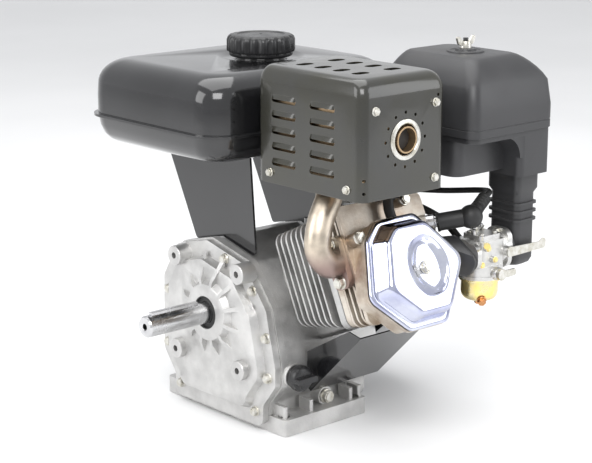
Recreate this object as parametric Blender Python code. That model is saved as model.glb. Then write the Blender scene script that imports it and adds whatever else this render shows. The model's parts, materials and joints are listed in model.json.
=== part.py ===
"""Small air-cooled single-cylinder gasoline engine with a horizontal output shaft.

Frame: the origin is on the mounting plane, midway between the four base holes and under the crankshaft.
+Z is up, the output shaft points along -X and the recoil starter is at +X.  The cylinder leans forward along -Y.
Every size below is in millimetres.  A piece is modelled in millimetres and finish() scales its mesh to metres.
"""

import math

import bmesh
import bpy
from mathutils import Matrix, Vector

MM = 0.001
GAP = 0.3  # clearance between touching pieces
TINY = 1.0  # how far a cutter runs past the face that it opens
WELD = 0.001  # corners closer than this are one corner

# Driving dimensions
BORE = 88.0
STROKE = 64.0
CRANK_HEIGHT = 133.0
CYLINDER_TILT = 25.0  # degrees above the horizontal
CYLINDER_X = 26.0
ROD_LENGTH = 105.0
CROWN_HEIGHT = 28.0  # wrist pin to piston crown
SHAFT_DIA = 25.4
SHAFT_LENGTH = 88.5
BASE_HOLES_X = 105.4
BASE_HOLES_Y = 195.5
BASE_HOLE_DIA = 11.0
BASE_LENGTH = 132.0
BASE_WIDTH = 224.0
BASE_THICK = 20.0
FILLER_X, FILLER_Z = -50.0, 72.0
FILLER_STAND = 7.0  # how far the filler boss stands off the crankcase wall
DRAIN_X, DRAIN_Y, DRAIN_Z = 12.0, 96.0, 30.0
PTO_PITCH_DIA = 165.1
PTO_HOLE_DIA = 8.0
JOURNAL_RADIUS = 17.5
BEARING_RADIUS = 26.0
BEARING_WIDTH = 16.0
SEAL_RADIUS = 20.0

# Crankcase casting
CASE_X0 = -66.0
CASE_X1 = 90.0
CASE_WALL = 7.0
CASE_OUTLINE = [(-82, 8), (-82, 34), (-104, 62), (-104, 84), (-88, 150), (-50, 198), (18, 214), (74, 200), (102, 156),
                (104, 62), (82, 34), (82, 8)]
COVER_DEPTH = 28.0
PTO_FACE_X = CASE_X0 - COVER_DEPTH

# Cylinder, measured along its axis from the crankshaft centre
LINER_WALL = 3.5
DECK = 171.0
FIN_COUNT = 7
FIN_FIRST = 96.0
FIN_PITCH = 9.4
FIN_THICK = 2.6
FIN_HALF_WIDTH = 66.0
GASKET_THICK = 1.2
HEAD_BODY = 42.0
HEAD_BOX = 22.0
CHAMBER_DEPTH = 12.0
PORT_HEIGHT = 27.0  # port axis above the deck
PORT_RADIUS = 13.0
COVER_OUTLINE = [(-36, 63), (22, 63), (73, 3), (24, -62), (-32, -62), (-76, -20), (-57, 44)]
COVER_SHIFT = -28.0  # the rocker cover's centre below the cylinder axis
COVER_RISE = 24.0
DISH_DEPTH = 6.0
PUSHROD_OFFSET = 58.0
PUSHROD_SPREAD = 10.0

# Camshaft
MODULE = 11 / 3
CRANK_TEETH = 12
CAM_TEETH = 24
GEAR_X = -44.0
GEAR_WIDTH = 12.0
LOBE_BASE = 12.0
LOBE_LIFT = 4.0
LOBE_WIDTH = 8.0
LOBE_SPLIT = 110.0  # degrees from the cylinder axis to each lobe at top dead centre

# Flywheel end
HOUSING_X0 = CASE_X1 + 4.5
HOUSING_X1 = 150.0
HOUSING_RADIUS = 98.0
HOUSING_REACH = 120.0
SHEET = 2.0
FLYWHEEL_RADIUS = HOUSING_RADIUS - 20.0
RECOIL_X1 = 206.0
REEL_RADIUS = 50.0
HOUSING_POST_RADIUS = HOUSING_RADIUS - 5.0

# Exhaust guard, tank and air cleaner boxes: low corner, high corner
GUARD_LOW, GUARD_HIGH = Vector((-72, -242, 303)), Vector((58, -70, 435))
TANK_LOW, TANK_HIGH = Vector((-125, -58, 318)), Vector((168, 188, 420))
CLEANER_LOW, CLEANER_HIGH = Vector((92, -252, 298)), Vector((232, -96, 438))
CLEANER_SPLIT = 352.0
CAP_X, CAP_Y, CAP_RADIUS = 45.0, 58.0, 42.0
NECK_RADIUS = 30.0
CARB_X0, CARB_X1 = 118.0, 186.0
CARB_Y, CARB_Z = -214.0, 208.0

BOWL_X = 150.0
CHOKE_X = 174.0
STUD = (162, -172)  # the air cleaner's stud
STUD_RADIUS = 3.0
ELBOW = (207, -212)  # the intake elbow's upright bore
HOSE_TOP = (104, -28)  # the fuel spout under the tank
LEG_PLACES = (-52, 70)
LEG_THICK = 3.0
LEG_FOOT_GAP = 2.5
OUTLET = Vector((-6, GUARD_LOW.y, 365))
OUTLET_RADIUS = 15.0
MUFFLER_LOW, MUFFLER_HIGH = GUARD_LOW + Vector((9, 12, 10)), GUARD_HIGH - Vector((9, 10, 20))
SHROUD_X0, SHROUD_X1 = -26.0, 84.0
BRACKET_X = 126.0
LEVER_Y, LEVER_Z = -26.0, 266.0
SWITCH_Y, SWITCH_Z = 6.0, 262.0
LEAD_END_X, LEAD_END_Y = 122.0, -46.0
GOVERNOR_Y, GOVERNOR_Z = -30.0, 222.0

# Crank, rod and pins
CRANKPIN_RADIUS = 18.0
WEB_THICK = 12.0
CRANKPIN_LENGTH = 24.0
WRIST_RADIUS = 10.0
PISTON_LENGTH = 62.0
TAPER_RADIUS = 13.0  # the shaft inside the flywheel
TAIL_RADIUS = 8.0  # the shaft beyond the flywheel
KEY_WIDTH = 6.4
FLYWHEEL_WIDTH = 26.0
VALVE_STEM_RADIUS = 3.5
SPRING_LENGTH = 19.4

tilt = math.radians(CYLINDER_TILT)
filler_face = FILLER_STAND - CASE_OUTLINE[2][0]
recoil_radius = HOUSING_RADIUS - 8
crank_radius = STROKE / 2
bore_radius = BORE / 2
chamber_radius = bore_radius - 6
valve_offset = chamber_radius / 2
valve_head_radius = valve_offset - 2
liner_radius = bore_radius + LINER_WALL
head_foot = DECK + GASKET_THICK + 2 * GAP
head_top = head_foot + HEAD_BODY
box_top = head_top + HEAD_BOX
cover_foot = box_top + GASKET_THICK + 2 * GAP
port_axis = DECK + PORT_HEIGHT
cam_radius = MODULE * CAM_TEETH / 2
gear_distance = MODULE * (CRANK_TEETH + CAM_TEETH) / 2
cam_along = -math.sqrt(gear_distance**2 - PUSHROD_OFFSET**2)
crank_turn = math.pi / CRANK_TEETH

# Frames: local z runs along +X (SIDE), -Y (FRONT) or the cylinder axis (CYLINDER)
SIDE = Matrix(((0, 0, 1, 0), (1, 0, 0, 0), (0, 1, 0, 0), (0, 0, 0, 1)))
FRONT = Matrix(((1, 0, 0, 0), (0, 0, -1, 0), (0, 1, 0, 0), (0, 0, 0, 1)))
CRANK = SIDE @ Matrix.Translation((0, CRANK_HEIGHT, 0))
CYLINDER = Matrix.Translation((CYLINDER_X, 0, CRANK_HEIGHT)) @ Matrix.Rotation(math.pi / 2 - tilt, 4, "X")
WORLD = Matrix.Identity(4)


def on_cylinder(across, up, along):
    """World point of a place in the cylinder's own frame."""
    return CYLINDER @ Vector((across, up, along))


def shift(place, x=0.0, y=0.0, z=0.0):
    """The frame place, moved along its own axes."""
    return place @ Matrix.Translation((x, y, z))


CAM_CENTRE = on_cylinder(0, -PUSHROD_OFFSET, cam_along)
MESH_ANGLE = math.atan2(CAM_CENTRE.z - CRANK_HEIGHT, CAM_CENTRE.y)
CAM = SIDE @ Matrix.Translation((CAM_CENTRE.y, CAM_CENTRE.z, 0))
INTAKE_PORT = on_cylinder(FIN_HALF_WIDTH, -10, port_axis)
EXHAUST_PORT = on_cylinder(-FIN_HALF_WIDTH, 4, port_axis)
CARB = SIDE @ Matrix.Translation((CARB_Y, CARB_Z, 0))
ACROSS_CYLINDER = Matrix(((0, 0, 1, 0), (1, 0, 0, 0), (0, 1, 0, 0), (0, 0, 0, 1))) @ Matrix.Rotation(
    math.pi / 2 - tilt, 4, "Z"
)


def port(point):
    """A frame whose x lies across the cylinder, y along it and z along +X, through a port's centre."""
    return Matrix.Translation((0, point.y, point.z)) @ ACROSS_CYLINDER


# Rocker gear, spark plug and lead
ROCKER_LEVEL = head_top + 31.0
PIVOT_UP = -24.0
PLUG_ROOT = on_cylinder(FIN_HALF_WIDTH - 22, 26, head_foot + 27)
PLUG_WAY = (on_cylinder(61, -10, 57) - on_cylinder(0, 0, 0)).normalized()
PLUG_TIP = PLUG_ROOT - PLUG_WAY * 33
PLUG_SEAT = PLUG_ROOT + PLUG_WAY * 24
BALL = PLUG_SEAT + PLUG_WAY * 52
LEAD_WAY = Vector((0.88, 0.26, 0.40)).normalized()
LEAD_START = BALL + LEAD_WAY * 40

# Starter rope, from the reel's edge to the mouth of its housing
ROPE_X = RECOIL_X1 - 26
ROPE_ANGLE = math.radians(15)
ROPE_WAY = Vector((0, math.cos(ROPE_ANGLE), math.sin(ROPE_ANGLE)))
ROPE_UP = Vector((0, -math.sin(ROPE_ANGLE), math.cos(ROPE_ANGLE)))
ROPE_EXIT = Vector((ROPE_X, 0, CRANK_HEIGHT)) + ROPE_UP * (REEL_RADIUS - 4) + ROPE_WAY * (recoil_radius - 6)

# Levers and tank legs
LEVER_PIVOT = shift(SIDE, LEVER_Y, LEVER_Z)
SWITCH_PLACE = shift(SIDE, SWITCH_Y, SWITCH_Z)
GOVERNOR_PIVOT = shift(SIDE, GOVERNOR_Y, GOVERNOR_Z)
WRIST_CENTRE = on_cylinder(0, 0, crank_radius + ROD_LENGTH)
WRIST = SIDE @ Matrix.Translation((WRIST_CENTRE.y, WRIST_CENTRE.z, WRIST_CENTRE.x))
CRANKPIN = shift(CYLINDER, 0, 0, crank_radius) @ Matrix.Rotation(math.pi / 2, 4, "Y")


# ---------------------------------------------------------------- materials and objects


def material(name, colour, roughness, metallic=0.0):
    made = bpy.data.materials.new(name)
    made.use_nodes = True
    shader = made.node_tree.nodes["Principled BSDF"]
    shader.inputs["Base Color"].default_value = (*colour, 1.0)
    shader.inputs["Roughness"].default_value = roughness
    shader.inputs["Metallic"].default_value = metallic
    return made


def new_object(name, mesh):
    made = bpy.data.objects.new(name, mesh)
    bpy.context.scene.collection.objects.link(made)
    return made


def from_bmesh(bm, place=WORLD):
    """A helper object from a bmesh that was built in the frame place."""
    bmesh.ops.transform(bm, matrix=place, verts=bm.verts)
    bmesh.ops.recalc_face_normals(bm, faces=bm.faces)
    mesh = bpy.data.meshes.new("shape")
    bm.to_mesh(mesh)
    bm.free()
    return new_object("shape", mesh)


def settle(obj):
    """Replaces an object's mesh by its evaluated one and drops its modifiers."""
    graph = bpy.context.evaluated_depsgraph_get()
    mesh = bpy.data.meshes.new_from_object(obj.evaluated_get(graph))
    bm = bmesh.new()
    bm.from_mesh(mesh)
    bmesh.ops.remove_doubles(bm, verts=bm.verts, dist=WELD)
    bmesh.ops.dissolve_degenerate(bm, dist=WELD, edges=bm.edges)
    bm.to_mesh(mesh)
    bm.free()
    obj.modifiers.clear()
    obj.data = mesh
    return obj


def boolean(target, tools, operation):
    for tool in tools:
        step = target.modifiers.new(operation.title(), "BOOLEAN")
        step.operation = operation
        step.solver = "EXACT"
        step.object = tool
        settle(target)
        bpy.data.objects.remove(tool)
    return target


def fuse(target, *tools):
    return boolean(target, tools, "UNION")


def cut(target, *tools):
    return boolean(target, tools, "DIFFERENCE")


def finish(obj, name, skin, smooth_below=35.0):
    """Names a piece, gives it its material and shades its round faces smooth."""
    obj.name = name
    obj.data.name = name
    obj.data.transform(Matrix.Scale(MM, 4))
    obj.data.materials.clear()
    obj.data.materials.append(skin)
    for face in obj.data.polygons:
        face.use_smooth = True
    obj.data.set_sharp_from_angle(angle=math.radians(smooth_below))
    return obj


def pivot(obj, point):
    """Puts a moving piece's origin on its joint's axis, and leaves its shape where it is."""
    centre = Vector(point) * MM
    obj.data.transform(Matrix.Translation(-centre))
    obj.location = centre
    return obj


# ---------------------------------------------------------------- shapes


def rounded(points, radius, steps=2):
    """The polygon with its corners turned into arcs."""
    made = []
    count = len(points)
    for i, corner in enumerate(points):
        here = Vector(corner)
        before = (Vector(points[i - 1]) - here).normalized()
        after = (Vector(points[(i + 1) % count]) - here).normalized()
        half = before.angle(after) / 2
        reach = radius / math.tan(half)
        centre = here + (before + after).normalized() * radius / math.sin(half)
        start = (here + before * reach - centre).normalized()
        end = (here + after * reach - centre).normalized()
        made += [centre + start.slerp(end, k / steps).normalized() * radius for k in range(steps + 1)]
    return [(p.x, p.y) for p in made]


def rectangle(x0, y0, x1, y1, radius=0.0, steps=2):
    corners = [(x0, y0), (x1, y0), (x1, y1), (x0, y1)]
    return rounded(corners, radius, steps) if radius else corners


def grown(points, by):
    """The polygon offset outwards by a distance, or inwards where it is negative."""
    area = sum(points[i - 1][0] * p[1] - p[0] * points[i - 1][1] for i, p in enumerate(points))
    turn = 1 if area > 0 else -1
    made = []
    for i, point in enumerate(points):
        here = Vector(point)
        a = (here - Vector(points[i - 1])).normalized()
        b = (Vector(points[(i + 1) % len(points)]) - here).normalized()
        na = Vector((a.y, -a.x)) * turn
        nb = Vector((b.y, -b.x)) * turn
        mitre = (na + nb).normalized()
        made.append(here + mitre * by / mitre.dot(na))
    return [(p.x, p.y) for p in made]


def loft(sections, place=WORLD):
    """A closed solid through outlines of equal length, each given as (points, height)."""
    bm = bmesh.new()
    rings = [[bm.verts.new((x, y, height)) for x, y in points] for points, height in sections]
    for low, high in zip(rings, rings[1:]):
        for i in range(len(low)):
            bm.faces.new((low[i - 1], low[i], high[i], high[i - 1]))
    bm.faces.new(rings[0][::-1])
    bm.faces.new(rings[-1])
    return from_bmesh(bm, place)


def prism(points, start, end, place=WORLD):
    return loft([(points, start), (points, end)], place)


def block(low, high, radius=0.0, place=WORLD):
    """A box with its upright edges rounded."""
    outline = rectangle(low[0], low[1], high[0], high[1], radius)
    return prism(outline, low[2], high[2], place)


def turned(profile, steps=18, place=WORLD):
    """A solid of revolution about local z; the profile is a closed loop of (radius, height)."""
    bm = bmesh.new()
    rings = []
    for radius, height in profile:
        if radius == 0:
            rings.append([bm.verts.new((0, 0, height))] * steps)
            continue
        angles = [2 * math.pi * k / steps for k in range(steps)]
        rings.append([bm.verts.new((radius * math.cos(a), radius * math.sin(a), height)) for a in angles])
    for i, ring in enumerate(rings):
        last = rings[i - 1]
        for k in range(steps):
            corners = list(dict.fromkeys((last[k - 1], last[k], ring[k], ring[k - 1])))
            if len(corners) > 2:
                bm.faces.new(corners)
    return from_bmesh(bm, place)


def rod(radius, start, end, steps=14, place=WORLD):
    return turned([(0, start), (radius, start), (radius, end), (0, end)], steps, place)


def ring(inner, outer, start, end, steps=18, place=WORLD):
    return turned([(inner, start), (outer, start), (outer, end), (inner, end)], steps, place)


def aim(start, end):
    """A frame at start whose z runs towards end."""
    start, end = Vector(start), Vector(end)
    turn = (end - start).to_track_quat("Z", "Y").to_matrix().to_4x4()
    return Matrix.Translation(start) @ turn


def bar(start, end, radius, steps=12):
    return rod(radius, 0, (Vector(end) - Vector(start)).length, steps, aim(start, end))


def tube(points, radius, sides=2, finer=3):
    """A round solid along a smooth curve through the points."""
    curve = bpy.data.curves.new("path", "CURVE")
    curve.dimensions = "3D"
    curve.bevel_depth = radius
    curve.bevel_resolution = sides
    curve.use_fill_caps = True
    smooth = smooth_path([Vector(p) for p in points], finer)
    spline = curve.splines.new("POLY")
    spline.points.add(len(smooth) - 1)
    for knot, place in zip(spline.points, smooth):
        knot.co = (*place, 1.0)
    guide = new_object("path", curve)
    graph = bpy.context.evaluated_depsgraph_get()
    mesh = bpy.data.meshes.new_from_object(guide.evaluated_get(graph))
    bpy.data.objects.remove(guide)
    bm = bmesh.new()
    bm.from_mesh(mesh)
    bmesh.ops.remove_doubles(bm, verts=bm.verts, dist=WELD)
    bmesh.ops.recalc_face_normals(bm, faces=bm.faces)
    bm.to_mesh(mesh)
    bm.free()
    return new_object("tube", mesh)


def smooth_path(points, finer):
    """Points along a Catmull-Rom curve through the given ones."""
    made = []
    for i in range(len(points) - 1):
        p0 = points[max(i - 1, 0)]
        p1, p2 = points[i], points[i + 1]
        p3 = points[min(i + 2, len(points) - 1)]
        for k in range(finer):
            t = k / finer
            made.append(
                0.5 * (2 * p1 + (p2 - p0) * t + (2 * p0 - 5 * p1 + 4 * p2 - p3) * t**2
                       + (3 * p1 - p0 - 3 * p2 + p3) * t**3)
            )
    made.append(points[-1])
    return made


def hex_bolt(place, across=13.0, head=6.0, stem=0.0, stem_radius=4.0):
    """A hexagon head on a washer face; its stem, if any, runs down local -z."""
    radius = across / math.sqrt(3)
    corners = [(radius * math.cos(a), radius * math.sin(a)) for a in (math.pi / 3 * k for k in range(6))]
    bolt = prism(corners, 1.5, head, place)
    washer = rod(across * 0.62, 0, 1.7, 12, place)
    made = fuse(bolt, washer)
    if stem:
        made = fuse(made, rod(stem_radius, -stem, 0.5, 10, place))
    return made


def gear_outline(teeth, turn):
    """A trapezoidal tooth form of the module, turned by an angle."""
    pitch = MODULE * teeth / 2
    made = []
    for k in range(teeth):
        middle = turn + 2 * math.pi * k / teeth
        for radius, share in ((pitch - 1.2 * MODULE, -0.33), (pitch + 0.85 * MODULE, -0.11),
                              (pitch + 0.85 * MODULE, 0.11), (pitch - 1.2 * MODULE, 0.33)):
            angle = middle + share * 2 * math.pi / teeth
            made.append((radius * math.cos(angle), radius * math.sin(angle)))
    return made


# ---------------------------------------------------------------- castings


def cylinder_block(skin):
    outline = rounded(CASE_OUTLINE, 12, 2)
    body = prism(outline, CASE_X0, CASE_X1, SIDE)
    base = block((-BASE_LENGTH / 2, -BASE_WIDTH / 2, 0), (BASE_LENGTH / 2, BASE_WIDTH / 2, BASE_THICK), 6)
    barrel = rod(liner_radius + 6.5, 60, DECK, 20, CYLINDER)
    tunnel = block((-27, -PUSHROD_OFFSET - 11, 44), (27, -40, DECK - 4), 6, CYLINDER)
    deck = block((-60, -70, DECK - 9), (60, 62, DECK), 12, CYLINDER)
    seat = rod(38, CASE_X1 - 19, CASE_X1 - 1, 18, CRANK)
    filler_boss = rod(15, filler_face - 11, filler_face, 16, shift(FRONT, FILLER_X, FILLER_Z))
    drain_boss = rod(11, 60, DRAIN_Y, 14, shift(FRONT, DRAIN_X, DRAIN_Z))
    governor_lug = block((44, -40, 190), (60, -20, 230), 4)
    body = fuse(body, base, barrel, tunnel, deck, filler_boss, drain_boss, governor_lug)
    for angle in (40, 225, 315):
        reach = HOUSING_POST_RADIUS
        y, z = reach * math.cos(math.radians(angle)), reach * math.sin(math.radians(angle))
        body = fuse(body, rod(8, CASE_X1 - 4, HOUSING_X0 - GAP, 10, shift(CRANK, y, z)))
    for k in range(FIN_COUNT):
        level = FIN_FIRST + k * FIN_PITCH
        half = FIN_HALF_WIDTH
        drop = -52 - 2.2 * k
        body = fuse(body, block((-half, drop, level), (half, 62, level + FIN_THICK), 14, CYLINDER))
    inner = rounded(grown(CASE_OUTLINE, -CASE_WALL), 7, 2)
    cavity = prism(inner, CASE_X0 - TINY, CASE_X1 - CASE_WALL, SIDE)
    body = cut(body, cavity)
    body = fuse(body, seat)
    body = cut(
        body,
        rod(liner_radius + GAP, 20, DECK + TINY, 20, CYLINDER),
        block((-20, -PUSHROD_OFFSET - 8, 20), (20, -PUSHROD_OFFSET + 6, DECK + TINY), 4, CYLINDER),
        rod(BEARING_RADIUS + GAP, CASE_X1 - BEARING_WIDTH - 5, CASE_X1 - 4, 18, CRANK),
        rod(SEAL_RADIUS, CASE_X1 - 30, CASE_X1 + TINY, 18, CRANK),
        rod(9, filler_face - 29, filler_face + TINY, 12, shift(FRONT, FILLER_X, FILLER_Z)),
        rod(3 + GAP, 43, 61, 12, GOVERNOR_PIVOT),
    )
    for sx in (-1, 1):
        for sy in (-1, 1):
            x, y = sx * BASE_HOLES_X / 2, sy * BASE_HOLES_Y / 2
            body = cut(body, rod(BASE_HOLE_DIA / 2, -TINY, BASE_THICK + TINY, 14, shift(WORLD, x, y)))
    return finish(body, "cylinder_block", skin)


def pto_points():
    return [(PTO_PITCH_DIA / 2 * math.cos(a), PTO_PITCH_DIA / 2 * math.sin(a))
            for a in (math.pi / 4 + math.pi / 2 * k for k in range(4))]


def side_cover(skin):
    outline = rounded(grown(CASE_OUTLINE, 1), 12, 2)
    plate = prism(outline, CASE_X0 - 9, CASE_X0 - GAP, SIDE)
    dome_low = [(x, y) for x, y in rounded(grown(CASE_OUTLINE, -16), 12, 2)]
    dome_high = [(x, y) for x, y in rounded(grown(CASE_OUTLINE, -24), 12, 2)]
    dome = loft([(dome_high, CASE_X0 - 20), (dome_low, CASE_X0 - 8)], SIDE)
    hub = turned([(0, PTO_FACE_X), (34, PTO_FACE_X), (44, CASE_X0 - 12), (44, CASE_X0 - GAP), (0, CASE_X0 - GAP)],
                 18, CRANK)
    made = fuse(plate, dome, hub)
    for y, z in pto_points():
        made = fuse(made, rod(12, PTO_FACE_X, CASE_X0 - 7, 12, shift(CRANK, y, z)))
    pocket = prism(rounded(grown(CASE_OUTLINE, -CASE_WALL - 15), 10, 2), CASE_X0 - 16, CASE_X0 + TINY, SIDE)
    keep = rod(34, CASE_X0 - 17, CASE_X0 + 2, 18, CRANK)
    made = cut(made, cut(pocket, keep))
    made = cut(
        made,
        rod(BEARING_RADIUS + GAP, CASE_X0 - BEARING_WIDTH - 2, CASE_X0 + TINY, 18, CRANK),
        rod(SEAL_RADIUS, PTO_FACE_X - TINY, CASE_X0, 18, CRANK),
    )
    for y, z in pto_points():
        made = cut(made, rod(PTO_HOLE_DIA / 2, PTO_FACE_X - TINY, PTO_FACE_X + 12, 12, shift(CRANK, y, z)))
    return finish(made, "side_cover", skin)


def main_bearing(name, start, skin):
    made = ring(JOURNAL_RADIUS + GAP, BEARING_RADIUS, start, start + BEARING_WIDTH, 18, CRANK)
    return finish(made, name, skin)


def pto_seal(skin):
    made = ring(SHAFT_DIA / 2 + GAP, SEAL_RADIUS - GAP, PTO_FACE_X + 1, PTO_FACE_X + 8, 18, CRANK)
    return finish(made, "pto_seal", skin)


def cylinder_liner(skin):
    return finish(ring(bore_radius, liner_radius, 66, DECK, 20, CYLINDER), "cylinder_liner", skin)


def head_gasket(skin):
    low = DECK + GAP
    plate = block((-60, -70, low), (60, 62, low + GASKET_THICK), 12, CYLINDER)
    made = cut(plate, rod(bore_radius + 1, low - 1, low + 3, 20, CYLINDER),
               block((-20, -PUSHROD_OFFSET - 8, low - 1), (20, -PUSHROD_OFFSET + 6, low + 3), 4, CYLINDER))
    return finish(made, "head_gasket", skin)


def cover_outline(by=0.0, radius=14.0):
    points = [(x, y + COVER_SHIFT) for x, y in grown(COVER_OUTLINE, by)]
    return rounded(points, radius, 2)


def cylinder_head(skin):
    made = block((-60, -70, head_foot), (60, 62, head_foot + 8), 12, CYLINDER)
    core = block((-50, -70, head_foot), (50, 50, head_top), 10, CYLINDER)
    top = block((-FIN_HALF_WIDTH, -74, head_top - 5), (FIN_HALF_WIDTH, 64, head_top), 10, CYLINDER)
    box = prism(cover_outline(), head_top - 1, box_top, CYLINDER)
    in_boss = block((-20, -13, CYLINDER_X), (20, 13, CYLINDER_X + FIN_HALF_WIDTH), 8, port(INTAKE_PORT))
    out_boss = block((-28, -13, CYLINDER_X - FIN_HALF_WIDTH), (28, 13, CYLINDER_X), 8, port(EXHAUST_PORT))
    plug_boss = bar(PLUG_SEAT, PLUG_ROOT, 11.5)
    made = fuse(made, core, top, box, in_boss, out_boss, plug_boss)
    for k in range(3):
        level = head_foot + 13 + 8.5 * k
        made = fuse(made, block((2 - FIN_HALF_WIDTH, -72, level), (FIN_HALF_WIDTH - 2, 62, level + FIN_THICK), 12, CYLINDER))
    made = cut(
        made,
        rod(chamber_radius, head_foot - TINY, head_foot + CHAMBER_DEPTH, 24, CYLINDER),
        prism(cover_outline(-7, 10), head_top + 7, box_top + TINY, CYLINDER),
        block((-20, -PUSHROD_OFFSET - 8, head_foot - TINY), (20, -PUSHROD_OFFSET + 6, head_top + 9), 4, CYLINDER),
        rod(PORT_RADIUS, CYLINDER_X + 24, CYLINDER_X + 80, 16, port(INTAKE_PORT)),
        rod(PORT_RADIUS, CYLINDER_X - 80, CYLINDER_X - 24, 16, port(EXHAUST_PORT)),
        bar(PLUG_SEAT + PLUG_WAY * 2, PLUG_TIP - PLUG_WAY, 7.3),
        bar(PLUG_SEAT, PLUG_SEAT + PLUG_WAY * 40, 13),
    )
    for side in (-1, 1):
        guide = rod(4, head_foot, head_top + 12, 12, shift(CYLINDER, side * valve_offset))
        throat = rod(PORT_RADIUS, head_foot + 4, port_axis, 16, shift(CYLINDER, side * valve_offset))
        made = cut(made, guide, throat)
    return finish(made, "cylinder_head", skin)


def valve_cover_gasket(skin):
    low = box_top + GAP
    made = cut(prism(cover_outline(1.5), low, low + GASKET_THICK, CYLINDER),
               prism(cover_outline(-6, 10), low - 1, low + 3, CYLINDER))
    return finish(made, "valve_cover_gasket", skin)


def valve_cover(skin):
    low, high = cover_foot, cover_foot + COVER_RISE
    flange = prism(cover_outline(2), low, low + 2.5, CYLINDER)
    dome = loft([(cover_outline(-6), low + 1), (cover_outline(-9), high - 4), (cover_outline(-13), high)], CYLINDER)
    centre = shift(CYLINDER, 0, COVER_SHIFT)
    dish = turned([(0, high - DISH_DEPTH), (16, high - DISH_DEPTH), (30, high + 1), (0, high + 1)], 24, centre)
    made = cut(fuse(flange, dome), dish)
    hollow = loft([(cover_outline(-8), low - 1), (cover_outline(-11), high - 6), (cover_outline(-15), high - 2)],
                  CYLINDER)
    keep = turned([(0, high - DISH_DEPTH - 2), (17, high - DISH_DEPTH - 2), (34, high + 2), (0, high + 2)], 24, centre)
    made = cut(made, cut(hollow, keep))
    made = cut(made, rod(4.3, high - 14, high, 12, centre))
    return finish(made, "valve_cover", skin)


def valve_spring(side, name, skin):
    low = head_top + 7 + GAP
    return finish(ring(9, 12, low, low + SPRING_LENGTH, 16, shift(CYLINDER, side * valve_offset)), name, skin)


# ---------------------------------------------------------------- moving parts inside


def piston(skin):
    crown = crank_radius + ROD_LENGTH + CROWN_HEIGHT
    skirt = bore_radius - GAP
    made = turned([(0, crown), (skirt, crown), (skirt, crown - PISTON_LENGTH), (skirt - 5, crown - PISTON_LENGTH),
                   (skirt - 5, crown - 8),
                   (0, crown - 8)], 20, CYLINDER)
    bosses = [rod(WRIST_RADIUS + 5, low, high, 16, WRIST) for low, high in ((-skirt + 4, -16), (16, skirt - 4))]
    made = fuse(made, *bosses)
    made = cut(made, rod(WRIST_RADIUS + GAP, -skirt - 2, skirt + 2, 16, WRIST))
    for level in (crown - 5, crown - 11):
        groove = ring(skirt - 2.4, skirt + 2, level - 2.2, level, 20, CYLINDER)
        made = cut(made, groove)
    return finish(made, "piston", skin)


def wrist_pin(skin):
    reach = bore_radius - 6
    return finish(ring(WRIST_RADIUS - 4, WRIST_RADIUS, -reach, reach, 16, WRIST), "wrist_pin", skin)


def crankshaft(skin):
    """Shaft, two webs, crankpin at top dead centre and the timing gear."""
    near = CYLINDER_X - CRANKPIN_LENGTH / 2
    far = CYLINDER_X + CRANKPIN_LENGTH / 2
    journal = JOURNAL_RADIUS
    made = turned([(0, PTO_FACE_X - SHAFT_LENGTH), (11.2, PTO_FACE_X - SHAFT_LENGTH),
                   (SHAFT_DIA / 2, PTO_FACE_X - SHAFT_LENGTH + 2), (SHAFT_DIA / 2, PTO_FACE_X + 9),
                   (journal, PTO_FACE_X + 10), (journal, near - WEB_THICK + 1), (0, near - WEB_THICK + 1)], 18, CRANK)
    tail = turned([(0, far + WEB_THICK - 1), (journal, far + WEB_THICK - 1), (journal, CASE_X1 + 5),
                   (TAPER_RADIUS, CASE_X1 + 6.5), (TAPER_RADIUS, CASE_X1 + 30.5), (TAIL_RADIUS, CASE_X1 + 31.5),
                   (TAIL_RADIUS, CASE_X1 + 66), (0, CASE_X1 + 66)], 18, CRANK)
    web_place = CYLINDER @ Matrix.Rotation(math.pi / 2, 4, "Y")
    pin = rod(CRANKPIN_RADIUS, -CRANKPIN_LENGTH / 2 - TINY, CRANKPIN_LENGTH / 2 + TINY, 18, CRANKPIN)
    counter = [(48 * math.cos(a), 48 * math.sin(a)) for a in (math.pi * (0.62 + 0.76 * k / 10) for k in range(11))]
    wide = CRANKPIN_RADIUS + 1
    nose = [(crank_radius + wide * math.cos(a), wide * math.sin(a)) for a in (math.pi * (k / 6 - 0.5) for k in range(7))]
    outline = [(-x, y) for x, y in reversed(nose + counter)]
    half = CRANKPIN_LENGTH / 2
    webs = [prism(outline, low, low + WEB_THICK, web_place) for low in (-half - WEB_THICK, half)]
    gear = prism(gear_outline(CRANK_TEETH, crank_turn + MESH_ANGLE), GEAR_X, GEAR_X + GEAR_WIDTH, CRANK)
    made = fuse(made, tail, *webs, pin, gear)
    keyway = block((-KEY_WIDTH / 2, SHAFT_DIA / 2 - 3.1, PTO_FACE_X - SHAFT_LENGTH + 8),
                   (KEY_WIDTH / 2, SHAFT_DIA, PTO_FACE_X - 12), 0, CRANK)
    return finish(cut(made, keyway), "crankshaft", skin)


def shaft_key(skin):
    low, high = PTO_FACE_X - SHAFT_LENGTH + 8 + GAP, PTO_FACE_X - 12 - GAP
    half = KEY_WIDTH / 2 - GAP
    key = block((-half, SHAFT_DIA / 2 - 3.1 + GAP, low), (half, SHAFT_DIA / 2 + 3.3, high), 0, CRANK)
    return finish(key, "shaft_key", skin)


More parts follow.
